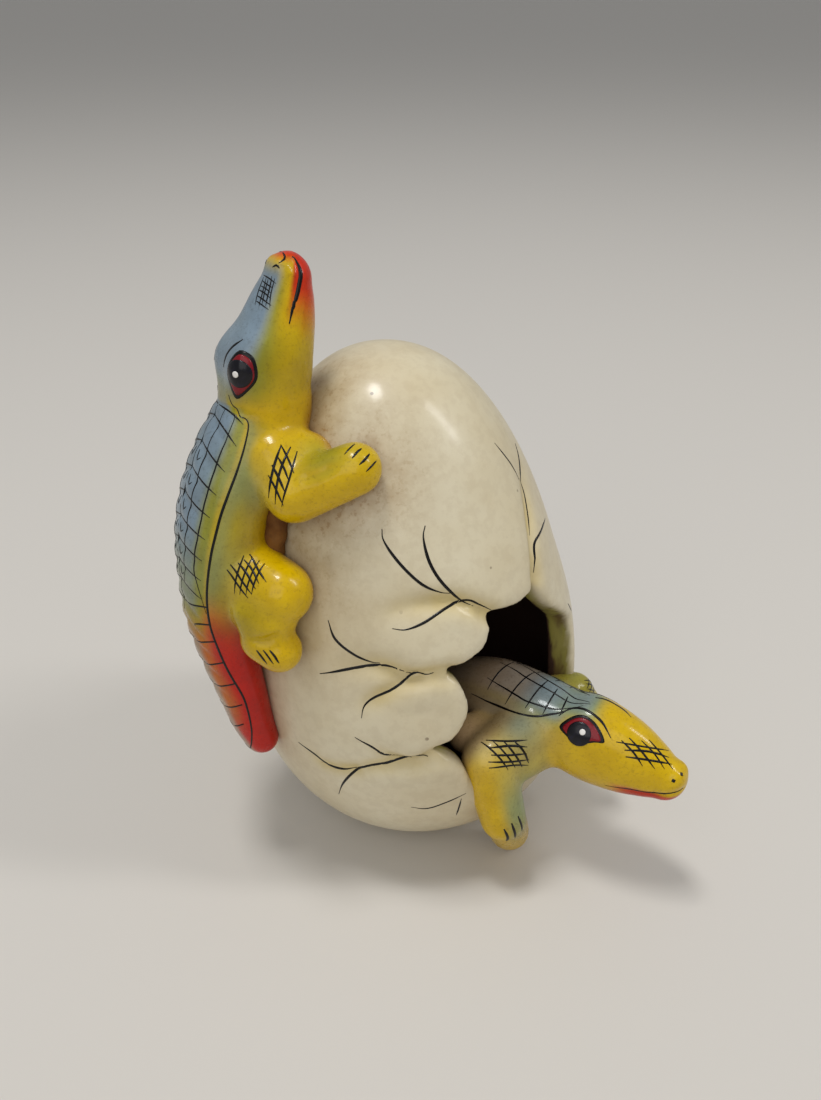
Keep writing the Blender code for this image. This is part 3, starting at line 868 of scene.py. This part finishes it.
class Brush:
    """Thin raised strokes of paint that follow a surface, some of them placed along a body's spine."""

    def __init__(self, tree, spine=None):
        self.tree = tree
        self.spine = spine
        self.solids = []

    def stroke(self, points, normals, width, start=0.35, end=0.35, lift=0.07):
        """A stroke through surface points, of a width that tapers towards its ends."""
        lengths = np.concatenate([[0], np.cumsum(np.linalg.norm(np.diff(points, axis=0), axis=1))])
        count = max(int(lengths[-1] / 0.45), 5)
        at = np.linspace(0, lengths[-1], count)
        line = np.stack([np.interp(at, lengths, points[:, k]) for k in range(3)], 1)
        up = np.stack([np.interp(at, lengths, normals[:, k]) for k in range(3)], 1)
        up /= np.linalg.norm(up, axis=1)[:, None]
        along = np.gradient(line, axis=0)
        side = np.cross(up, along)
        side /= np.maximum(np.linalg.norm(side, axis=1), 1e-9)[:, None]
        share = at / lengths[-1]
        grow = start + (1 - start) * smooth(0, 0.3, share)
        fall = end + (1 - end) * smooth(1, 0.7, share)
        half = (width / 2 * grow * fall)[:, None]
        profile = ((-1.0, -0.14), (-0.8, 0.6 * lift), (0.0, lift), (0.8, 0.6 * lift), (1.0, -0.14))
        rings = [line + side * half * x + up * y for x, y in profile]
        body = np.stack(rings, 1).reshape(-1, 3)
        points = np.vstack([line[0] - up[0] * 0.04, body, line[-1] - up[-1] * 0.04])
        self.solids.append((points, ring_faces(count, len(profile))))

    def drawn(self, places, direction, width, **ends):
        """A stroke through points near the surface, pressed onto it along a direction."""
        dense = between(places, 8)
        found = [self.tree.ray_cast(Vector(p + direction * 9), Vector(-direction), 20) for p in dense]
        found = [f for f in found if f[0] is not None]
        if len(found) > 3:
            self.stroke(np.array([f[0] for f in found]), np.array([f[1] for f in found]), width, **ends)

    def line(self, places, width, flip=1, **ends):
        self.stroke(*spine_line(self.spine, self.tree, places, flip=flip), width, **ends)

    def marks(self, place, *families, width=0.42, seed=1):
        """Sets of parallel strokes round a place: (count, stroke, step to the next), in mm right and up."""
        random = np.random.default_rng(seed)
        centre, normal, _, _ = self.tree.find_nearest(Vector(place))
        centre, normal = np.array(centre), np.array(normal)
        right = np.array([1.0, 0.0, 0.0]) if abs(normal[0]) < 0.8 else np.array([0.5, -0.85, 0.0])
        right -= normal * right.dot(normal)
        right /= np.linalg.norm(right)
        up = np.cross(normal, right)
        for count, stroke, step in families:
            stroke, step = np.array(stroke), np.array(step)
            for i in range(count):
                middle = step * (i - (count - 1) / 2) + random.uniform(-0.15, 0.15, 2)
                half = stroke / 2 * random.uniform(0.88, 1.1)
                bow = np.array([-stroke[1], stroke[0]]) * random.uniform(-0.03, 0.05)
                ends = (middle - half, middle + bow, middle + half)
                places = [centre + right * x + up * y for x, y in ends]
                self.drawn(places, normal, width * random.uniform(0.85, 1.15), start=0.5, end=0.3)

    def patch(self, centre, normal, axes, outline, lift):
        """A closed flat patch of paint inside an outline given in mm along two axes."""
        curve = closed_curve(outline, 4)
        rings = []
        for share, height in ((1.0, -0.15), (1.0, 0.6 * lift), (0.93, lift), (0.6, lift), (0.25, lift)):
            ring = []
            for x, y in curve * share + curve.mean(0) * (1 - share):
                start = centre + axes[0] * x + axes[1] * y
                point, up, _, _ = self.tree.ray_cast(Vector(start + normal * 9), Vector(-normal), 20)
                if point is None:
                    point, up, _, _ = self.tree.find_nearest(Vector(start))
                ring.append(np.array(point) + np.array(up) * height)
            rings.append(ring)
        middle = [np.mean(rings[0], 0) - normal * 0.3]
        top = [np.mean(rings[-1], 0)]
        self.solids.append((np.vstack(middle + rings + top), ring_faces(len(rings), len(curve))))

    def piece(self, name, material, slot):
        obj = joined(name, self.solids)
        obj.data.shade_smooth()
        obj.data.materials.append(material)
        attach(obj, "root")
        return obj


# Painted cracks as (width, line of azimuths and heights), and how broad the brush makes them.
CRACK_WIDTH = 1.3
CRACKS = [
    (0.55, [(-3.5, 92.7), (-3, 90.5), (2, 86.4), (9, 82.1), (15, 80), (18.5, 79.4)]),
    (0.6, [(13, 93), (11.7, 90.8), (12.6, 86.4), (15.8, 82.2), (21.7, 77.8), (26.5, 75.6)]),
    (0.55, [(33.5, 73.4), (28.4, 75.8), (24, 77.3), (16.3, 76.4), (8.1, 74.2), (2.4, 73.1), (-1.7, 73.3)]),
    (0.55, [(-23.2, 73.3), (-20.8, 69.6), (-14.7, 66.8), (-9.6, 65.3), (-6.6, 65.2)]),
    (0.6, [(-26.5, 60.7), (-16.4, 63.2), (-8.8, 64.5), (-3.2, 64.4), (3.6, 62.3)]),
    (0.5, [(10.3, 62.8), (8, 62.5), (3.6, 62.3), (-3.8, 59.1), (-9.2, 57.1), (-12.2, 55), (-13.2, 52.2)]),
    (0.55, [(-15.8, 46.9), (-11, 44.9), (-7.3, 42.4), (-2.7, 41.6), (1.2, 40.6)]),
    (0.55, [(6.5, 41.4), (4.3, 41.3), (-5.7, 39.9), (-12.8, 38.5), (-18.3, 35.6), (-22.7, 31.5),
            (-26.2, 26.3)]),
    (0.55, [(-38.1, 39.3), (-32.8, 37.9), (-27.6, 35.6), (-22.1, 35.6), (-17.4, 36.8)]),
    (0.4, [(-0.3, 26.3), (5, 25.9), (11.6, 28.3), (17.8, 30.7)]),
    (0.35, [(16.4, 29), (15.9, 25.5), (15.4, 21.6)]),
    (0.32, [(61.8, 103.1), (66.1, 98.4), (68.3, 94.3)]),
    (0.5, [(84, 99), (76, 96), (70.6, 93.5)]),
    (0.25, [(70.6, 94.1), (68.8, 90.7), (60.4, 83.7)]),
    (0.5, [(79, 82.5), (70, 83), (61, 82.3), (57.5, 79), (56, 76.5)]),
    (0.35, [(74.3, 62.5), (78.6, 58.7)]),
    # The far side carries cracks of the same kind.
    (0.5, [(112, 84), (118, 78), (127, 74), (138, 73)]),
    (0.5, [(118, 78), (115, 70), (119, 63)]),
    (0.5, [(128, 52), (137, 47), (150, 46), (158, 41)]),
    (0.45, [(150, 46), (156, 53), (166, 57)]),
    (0.5, [(170, 90), (178, 84), (189, 82), (197, 76)]),
    (0.45, [(189, 82), (193, 90), (203, 95)]),
    (0.5, [(196, 45), (206, 41), (215, 43), (224, 38)]),
    (0.45, [(206, 41), (208, 34), (216, 28)]),
    (0.5, [(232, 70), (240, 66), (246, 59)]),
]


def paint_cracks(tree, ink):
    brush = Brush(tree)
    for width, line in CRACKS:
        found = []
        for azimuth, height in between(line, 8):
            outside, lower = on_egg(azimuth, height, 5.0), on_egg(azimuth, height, 2.0)
            found.append(tree.ray_cast(Vector(outside), Vector((lower - outside) / 3.0), 9))
        points, normals = zip(*[(point, normal) for point, normal, _, _ in found if point is not None])
        brush.stroke(np.array(points), np.array(normals), width * CRACK_WIDTH, start=0.3, end=0.25)
    return brush.piece("eggshell_cracks", ink, "eggshell")


def eye_frame(spine, tree, at, angle):
    """The centre, the normal and the (away from the back, towards the snout) axes of an eye."""
    centre, normal = spine.cast(tree, at, angle)
    lower, _ = spine.cast(tree, at, angle + math.copysign(8, angle))
    ahead, _ = spine.cast(tree, at - 2.0, angle)
    along = ahead - centre
    along -= normal * along.dot(normal)
    along /= np.linalg.norm(along)
    down = np.cross(along, normal)
    if down.dot(lower - centre) < 0:
        down = -down
    return centre, normal, (down, along)


def circle(x, y, radius, count=9):
    turns = [2 * math.pi * i / count for i in range(count)]
    return [(x + radius * math.cos(turn), y + radius * math.sin(turn)) for turn in turns]


# Outlines of the eyes, in mm away from the back and towards the snout.
CLIMBER_EYE = [(-1.2, 4.2), (1.4, 3.9), (2.7, 2.0), (3.1, -0.4), (1.9, -2.9), (-0.3, -5.2), (-2.0, -3.2),
               (-3.1, -1.0), (-2.9, 1.4)]
HATCHLING_EYE = [(1.0, -4.9), (-1.3, -3.8), (-3.1, -1.8), (-3.4, 0.6), (-2.2, 3.2), (0.3, 5.4), (1.2, 3.4),
                 (2.4, 1.4), (3.2, 0.2), (3.1, -1.2), (2.4, -2.4)]


PAINT_LAYERS = {"outline": 0.07, "iris": 0.13, "pupil": 0.19, "gleam": 0.26}
IRIS_SHARE = 0.84


def paint_eyes(name, spine, tree, at, angles, outline, pupil, gleam, brow, inks):
    """The eyes as layers of paint: a black almond, red, a black pupil and a white dot, with a brow over each.

    The pupil and the gleam are (x, y, radius) in the outline's axes, and the brow is (width, line).
    """
    layers = {layer: Brush(tree) for layer in PAINT_LAYERS}
    shape = np.array(outline)
    middle = shape.mean(0)
    for turn in angles:
        centre, normal, axes = eye_frame(spine, tree, at, turn)
        iris = middle + (shape - middle) * IRIS_SHARE
        for layer, loop in zip(PAINT_LAYERS, (shape, iris, circle(*pupil), circle(*gleam))):
            layers[layer].patch(centre, normal, axes, loop, PAINT_LAYERS[layer])
        places = [centre + axes[0] * x + axes[1] * y for x, y in brow[1]]
        layers["outline"].drawn(places, normal, brow[0], start=0.3, end=0.3)
    for layer, material in zip(layers, inks):
        layers[layer].piece(name + "_eye_" + layer, material, name)


def paint_climber(tree):
    brush = Brush(tree, climber_spine)
    for flip in (1, -1):
        brush.line(BACK_EDGE[1:], 0.66, flip, start=0.35, end=0.6)
        brush.line(BACK_MIDDLE, 0.4, flip)
        brush.line([(27, 14), (31.4, 17), (40.4, 22), (48, 23), (56, 20), (63, 16)], 0.36, flip)
        mouth = [(-4.6, 66), (-4.2, 84), (-2.6, 97), (0.4, 94), (4.4, 86), (7.2, 83)]
        brush.line(mouth, 0.95, flip, start=0.35, end=0.3)
        brush.line([(-4.9, 8), (-4.6, 30), (-3.8, 42), (-3.0, 36)], 0.5, flip)
        brush.line([(-2.0, 22), (-2.6, 33), (-2.2, 42)], 0.5, flip)
    brush.line([(26.5, 0), (40, 0), (60, 0), (70, 0)], 0.3)
    for index, at in enumerate(RUNGS[1:], 1):
        edge = np.interp(at + 3, *np.array(BACK_EDGE).T)
        for flip in (1, -1):
            if at < 66:
                reach = min(edge * 0.84, 55)
                rung = [(at, 2), (at + 0.8, reach * 0.5), (at + 2.2, reach)]
                brush.line(rung, 0.44, flip, start=0.5, end=0.25)
                if 36 < at < 62:
                    brush.line([(at + 1.2, 6), (at + 2.8, 10), (at + 2.2, 15)], 0.36, flip)
            else:
                first = 4 + 26 * (index % 2) * (at < 80)
                rung = [(at + 0.6, first), (at + 0.2, edge * 0.5), (at - 0.6, edge * 0.97)]
                brush.line(rung, 0.46, flip, start=0.4, end=0.9)
    arm, leg, snout = (-26.8, -29.3, 104.5), (-34.4, -33.6, 84.1), (-29.4, -14.6, 135.4)
    hand, foot = (-11.3, -30.6, 108.9), (-30.6, -39.1, 68.3)
    brush.marks(arm, (4, (2.7, -5.6), (-0.85, -2.0)), (3, (-2.8, -10.6), (1.35, -0.6)), width=0.58, seed=3)
    brush.marks(leg, (5, (3.9, -5.6), (-1.1, -0.75)), (4, (-2.6, -6.6), (1.4, -0.4)), width=0.54, seed=4)
    brush.marks(hand, (4, (-2.0, -2.7), (1.4, -1.0)), width=0.54, seed=5)
    brush.marks(foot, (3, (2.1, -3.1), (1.4, 0.1)), width=0.55, seed=6)
    brush.marks(snout, (5, (-1.4, -5.2), (0.8, -0.25)), (6, (3.0, -2.6), (-0.3, -1.0)), width=0.32, seed=7)
    far_arm, far_hand = (mirrored_place(place, ARM_AZIMUTH) for place in (arm, hand))
    far_leg, far_foot = (mirrored_place(place, LEG_AZIMUTH) for place in (leg, foot))
    brush.marks(far_arm, (4, (2.7, 5.6), (0.85, -2.0)), (3, (-2.8, 9.6), (1.35, 0.6)), width=0.5, seed=8)
    brush.marks(far_leg, (5, (3.9, 5.6), (1.1, -0.75)), (4, (-2.6, 6.6), (1.4, 0.4)), width=0.46, seed=9)
    brush.marks(far_hand, (4, (-1.7, 2.1), (1.4, 1.0)), width=0.62, seed=10)
    brush.marks(far_foot, (3, (2.0, 2.9), (1.4, 0.1)), width=0.42, seed=11)
    return brush


def paint_hatchling(tree):
    brush = Brush(tree, hatchling_spine)
    for flip in (1, -1):
        edge = [(44, 60), (39.5, 63), (34.1, 61), (29.9, 55), (26.8, 38), (22.7, 19), (21, 12)]
        brush.line(edge, 0.6, flip, start=0.3, end=0.3)
        brush.line([(42, 30), (39.3, 34), (34, 39), (31.9, 40), (28.2, 34), (25, 24), (22, 16)], 0.46, flip)
        brush.line([(10.5, 125), (6, 117), (1.2, 109), (-3.4, 80), (-4.4, 46)], 0.5, flip, start=0.3, end=0.4)
    brush.line([(-1.7, 48), (-1.7, 40)], 0.95, start=0.9, end=0.9)
    brush.line([(-2.4, 14), (-2.7, 22)], 0.85, start=0.9, end=0.9)
    brush.line([(42, -9), (38, -3), (34.8, 3), (29.2, 8), (24, 10), (19.6, 6)], 0.46)
    brush.line([(40, -30), (36.8, -25), (32, -14), (28, -8), (24, -2), (20, 3)], 0.46)
    rungs = ((40.5, -26, 47, 0.2), (35.3, -20, 57, 0.5), (31.5, -12, 50, 0.2), (28.8, -4, 46, -0.2),
             (25.9, 0, 34, -0.5))
    for at, first, last, sweep in rungs:
        rung = [(at - sweep, first), (at, (first + last) / 2), (at + sweep, last)]
        brush.line(rung, 0.46, start=0.5, end=0.4)
    for at in (39, 34, 30, 27):
        brush.line([(at + 0.4, -22), (at, -38), (at - 0.6, -50)], 0.42)
    shoulder, snout, hand = (20.0, -35.6, 39.6), (49.3, -37.4, 41.4), (21.4, -39.3, 20.0)
    brush.marks(shoulder, (5, (9.6, -0.1), (0.1, -1.45)), (4, (4.8, -5.6), (2.1, 0.25)), width=0.58, seed=12)
    brush.marks(snout, (3, (11.5, -1.8), (0.6, -1.5)), (4, (4.9, -6.0), (2.2, -0.1)), width=0.52, seed=13)
    brush.marks(hand, (3, (1.3, -5.4), (1.8, 1.2)), width=0.72, seed=14)
    brush.line([(19.5, -9), (16.5, -13), (13.8, -12), (11.6, -6)], 0.75, start=0.5, end=0.3)
    far_shoulder, far_hand = (41.0, -12.5, 40.3), (46.5, -9.5, 30.5)
    hatching = ((4, (1.6, -4.0), (0.9, 0.5)), (3, (3.6, -1.4), (-0.3, -1.2)))
    brush.marks(far_shoulder, *hatching, width=0.36, seed=15)
    brush.marks(far_hand, (3, (0.6, -2.6), (1.5, 0.0)), width=0.5, seed=16)
    return brush


shell = make_shell()
climber = make_skin("climber_skin", climber_stations, outwards, CLIMBER_LIMBS, climber_spine, CLIMBER_MOUNDS,
                    CLIMBER_MOUTH, CLIMBER_DENTS)
hatchling = make_skin("hatchling_skin", HATCHLING, upwards, HATCHLING_LIMBS, hatchling_spine,
                      HATCHLING_MOUNDS, HATCHLING_MOUTH, [])
climber_pad, hatchling_pad = make_pads()
colour_climber(climber.data)
colour_hatchling(hatchling.data)


def shade_shell():
    """How much brown the shell takes round the crocodiles, as an attribute: sprayed brown paint and painted
    shade together, darkest where the shell meets them and stronger higher up.
    """
    points = points_of(shell.data)
    brown_and_shade = np.zeros(len(points))
    for tree, reach, strength in ((tree_of(climber.data), 15.0, 1.0), (tree_of(hatchling.data), 8.0, 0.55)):
        away = np.array([tree.find_nearest(Vector(p))[3] for p in points])
        brown_and_shade = np.maximum(brown_and_shade, strength * np.exp(-((away / reach) ** 1.5) * 2.2))
    attribute(shell.data, "brown_and_shade", brown_and_shade * (0.45 + 0.55 * smooth(70, 95, points[:, 2])))


shade_shell()

# ---- Materials ----------------------------------------------------------------------------------


def cream_slip():
    """Cream paint, yellowed in the creases and browned round the crocodiles by sprayed paint and painted
    shade, with bare clay inside the egg whose inner wall is darkened by painted shade.
    """
    paint = Paint("cream_slip")
    cloud = paint.noise(28, 4.0, 0.55)
    colour = paint.mix(paint.ramp(cloud, 0.3, 0.7), rgb(218, 208, 180), rgb(206, 192, 158))
    colour = paint.mix(paint.clouds(420, 3.0, 0.42, 0.62, 0.0, 0.16, 0.6), colour, rgb(178, 160, 128))
    yellow = paint.maths("MULTIPLY", paint.attribute("crease"), paint.clouds(90, 3.0, 0.3, 0.7, 0.35, 0.75))
    colour = paint.mix(yellow, colour, rgb(200, 176, 100))
    # Brown round the crocodiles: sprayed paint and painted shade together.
    sprayed = paint.clouds(150, 4.0, 0.3, 0.7, 0.45, 1.0, 0.65)
    brown = paint.maths("MULTIPLY", paint.attribute("brown_and_shade"), sprayed)
    speckle = paint.clouds(900, 2.0, 0.5, 0.68, roughness=0.7)
    brown = paint.maths("MULTIPLY", brown, paint.ramp(speckle, 0.0, 1.0, 0.72, 1.0))
    colour = paint.mix(brown, colour, rgb(140, 106, 52))
    specks = paint.ramp(paint.cells(170), 0.05, 0.09, 0.75, 0.0)
    specks = paint.maths("MULTIPLY", specks, paint.clouds(60, 1.0, 0.58, 0.66))
    colour = paint.mix(specks, colour, rgb(92, 66, 44))

    streak = paint.noise(150, 4.0, 0.6, (1.0, 1.0, 0.35))
    raw = paint.mix(paint.ramp(streak, 0.42, 0.6), rgb(138, 128, 58), rgb(98, 78, 38))
    raw = paint.mix(paint.clouds(60, 3.0, 0.5, 0.65), raw, rgb(160, 120, 70))
    # The inner wall is darkened to near black brown: painted shade of the hollow over the bare clay.
    ragged_shade = paint.maths("ADD", paint.attribute("deep"), paint.ramp(streak, 0.3, 0.7, -0.35, 0.35))
    raw = paint.mix(paint.ramp(ragged_shade, 0.25, 0.6), raw, rgb(62, 38, 26))
    colour = paint.mix(paint.attribute("inner"), colour, raw)
    matt = paint.ramp(paint.attribute("inner"), 0.0, 1.0, 0.0, 0.85)
    rough = paint.maths("MAXIMUM", paint.clouds(240, 3.0, 0.3, 0.7, 0.42, 0.56), matt)
    bumps = ((paint.noise(260, 4.0, 0.6), 0.35, 0.25), (paint.noise(1500, 2.0, 0.6), 0.25, 0.05),
             (cloud, 0.5, 0.8))
    return paint.finish(colour, rough, bumps, Coat_Weight=0.38, Coat_Roughness=0.18, Specular_IOR_Level=0.35)


def airbrushed():
    """The crocodiles' sprayed colours, a little mottled, under varnish."""
    paint = Paint("airbrushed_paint")
    colour = paint.attribute("paint", colour=True)
    mottle = paint.clouds(160, 4.0, 0.3, 0.7, 0.0, 0.22, 0.6)
    haze = paint.clouds(55, 3.0, 0.45, 0.75, 0.0, 0.2)
    grain = paint.clouds(1400, 2.0, 0.52, 0.7, 0.0, 0.22, 0.7)
    colour = paint.mix(mottle, colour, rgb(150, 118, 40), "MULTIPLY")
    colour = paint.mix(haze, colour, rgb(236, 226, 190), "SOFT_LIGHT")
    colour = paint.mix(grain, colour, rgb(120, 96, 30), "MULTIPLY")
    rough = paint.clouds(300, 3.0, 0.3, 0.7, 0.24, 0.36)
    bumps = ((paint.noise(330, 3.0, 0.6), 0.35, 0.25), (paint.noise(900, 3.0, 0.6), 0.35, 0.12))
    return paint.finish(colour, rough, bumps, Coat_Weight=0.3, Coat_Roughness=0.12, Specular_IOR_Level=0.2)


def bare_clay():
    paint = Paint("bare_clay")
    cloud = paint.noise(140, 4.0, 0.65)
    colour = paint.mix(paint.ramp(cloud, 0.35, 0.65), rgb(126, 82, 28), rgb(92, 54, 18))
    colour = paint.mix(paint.clouds(70, 2.0, 0.5, 0.7, 0.0, 0.6), colour, rgb(162, 120, 36))
    rough = paint.ramp(cloud, 0.3, 0.7, 0.7, 0.9)
    return paint.finish(colour, rough, ((paint.noise(500, 4.0, 0.7), 0.6, 0.3),), Specular_IOR_Level=0.35)


def enamel(name, colour, thinned_and_reflected, coat):
    """Brushed enamel broken by patches of a second colour: thinner paint, and on the pupil a painted
    reflection.
    """
    paint = Paint(name)
    mixed = paint.mix(paint.clouds(700, 3.0, 0.5, 0.75, 0.0, 0.5, 0.6), colour, thinned_and_reflected)
    rough = paint.clouds(400, 2.0, 0.3, 0.7, 0.25, 0.4)
    bumps = ((paint.noise(1500, 2.0), 0.2, 0.03),)
    return paint.finish(mixed, rough, bumps, Coat_Weight=coat, Coat_Roughness=0.15, Specular_IOR_Level=0.2)


skin_paint, clay = airbrushed(), bare_clay()
for piece, material in ((shell, cream_slip()), (climber, skin_paint), (hatchling, skin_paint),
                        (climber_pad, clay), (hatchling_pad, clay)):
    piece.data.materials.append(material)
black = enamel("black_enamel", rgb(7, 6, 6), rgb(26, 23, 20), 0.15)
inks = (black, enamel("red_enamel", rgb(124, 8, 22), rgb(76, 5, 16), 0.3),
        # The pupil's dark blue patches are a painted reflection.
        enamel("pupil_enamel", rgb(8, 6, 14), rgb(26, 24, 52), 0.3),
        enamel("white_enamel", rgb(232, 228, 222), rgb(200, 196, 190), 0.5))

# ---- Paintwork ----------------------------------------------------------------------------------

CLIMBER_BROW = (0.75, [(-1.4, 6.0), (-3.3, 4.0), (-4.5, 1.8), (-4.9, -0.6)])
HATCHLING_BROW = (0.7, [(-1.2, -5.9), (-3.6, -4.0), (-4.6, -0.8), (-3.6, 3.2), (-1.0, 6.4)])

shell_tree, climber_tree, hatchling_tree = (tree_of(skin.data) for skin in (shell, climber, hatchling))
paint_cracks(shell_tree, black)
paint_climber(climber_tree).piece("climber_linework", black, "climber")
paint_hatchling(hatchling_tree).piece("hatchling_linework", black, "hatchling")
paint_eyes("climber", climber_spine, climber_tree, 17.9, (38, -60), CLIMBER_EYE, (-0.3, 0.0, 2.7),
           (-0.7, -0.1, 0.62), CLIMBER_BROW, inks)
paint_eyes("hatchling", hatchling_spine, hatchling_tree, 18.9, (44, -52), HATCHLING_EYE, (0.7, -0.3, 2.7),
           (0.0, 0.3, 0.68), HATCHLING_BROW, inks)

# ---- Frame --------------------------------------------------------------------------------------

FLAPS = ("top", "right", "upper_left", "lower_left", "bottom", "far_right")
EGG_NODES = ("egg_closed_half", "egg_open_half") + tuple("shell_flap_" + flap for flap in FLAPS)
HATCHLING_PARTS = ("head", "body", "right_arm", "left_arm")
HATCHLING_NODES = tuple("hatchling_" + part for part in HATCHLING_PARTS)
CLIMBER_NODES = tuple("climber_" + part for part in HATCHLING_PARTS + ("tail", "right_leg", "left_leg"))
for piece, nodes, slot in ((shell, EGG_NODES, "eggshell"), (climber, CLIMBER_NODES, "climber"),
                           (hatchling, HATCHLING_NODES, "hatchling"),
                           (climber_pad, ("climber_luting_clay",), "bare_clay"),
                           (hatchling_pad, ("hatchling_luting_clay",), "bare_clay")):
    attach(piece, "root")
    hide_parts(*nodes)

# ---- Floor, light and camera --------------------------------------------------------------------

FLOOR_REACH = 12000.0
corners = [(x * FLOOR_REACH, y * FLOOR_REACH, 0) for x, y in ((-1, -1), (1, -1), (1, 1), (-1, 1))]
floor = object_from("floor", corners, [(0, 1, 2, 3)])
floor.data.materials.append(Paint("pale_paper").finish(rgb(208, 203, 195), 0.8))

world = bpy.data.worlds.new("studio")
bpy.context.scene.world = world
world.use_nodes = True
background = world.node_tree.nodes["Background"]
background.inputs["Color"].default_value = (0.95, 0.97, 1.0, 1.0)
background.inputs["Strength"].default_value = 0.36


def light(name, place, aim, size, power):
    """A soft rectangular light in metres and watts."""
    data = bpy.data.lights.new(name, "AREA")
    data.shape = "RECTANGLE"
    data.size, data.size_y = size
    data.energy = power
    obj = bpy.data.objects.new(name, data)
    obj.location = place
    obj.rotation_euler = (Vector(aim) - Vector(place)).to_track_quat("-Z", "Y").to_euler()
    bpy.context.scene.collection.objects.link(obj)


light("overhead", (-0.22, -0.08, 1.35), (0, 0, 0.1), (0.34, 0.2), 7.0)
light("side_strip", (0.95, -0.12, 1.05), (0, 0, 0.1), (0.16, 0.6), 4.0)
light("front_fill", (-0.4, -1.5, 1.1), (0, 0, 0.06), (1.6, 1.6), 9.4)

CAMERA_PLACE = (-0.001974, -0.202015, 0.187310)
CAMERA_TILT = 60
FOCAL_LENGTH = 32.662

camera_data = bpy.data.cameras.new("camera")
camera_data.sensor_fit = "VERTICAL"
camera_data.sensor_height = 36.0
camera_data.lens = FOCAL_LENGTH
camera = bpy.data.objects.new("camera", camera_data)
camera.location = CAMERA_PLACE
camera.rotation_euler = (math.radians(CAMERA_TILT), 0, 0)
bpy.context.scene.collection.objects.link(camera)
bpy.context.scene.camera = camera
bpy.context.scene.view_settings.view_transform = "Standard"
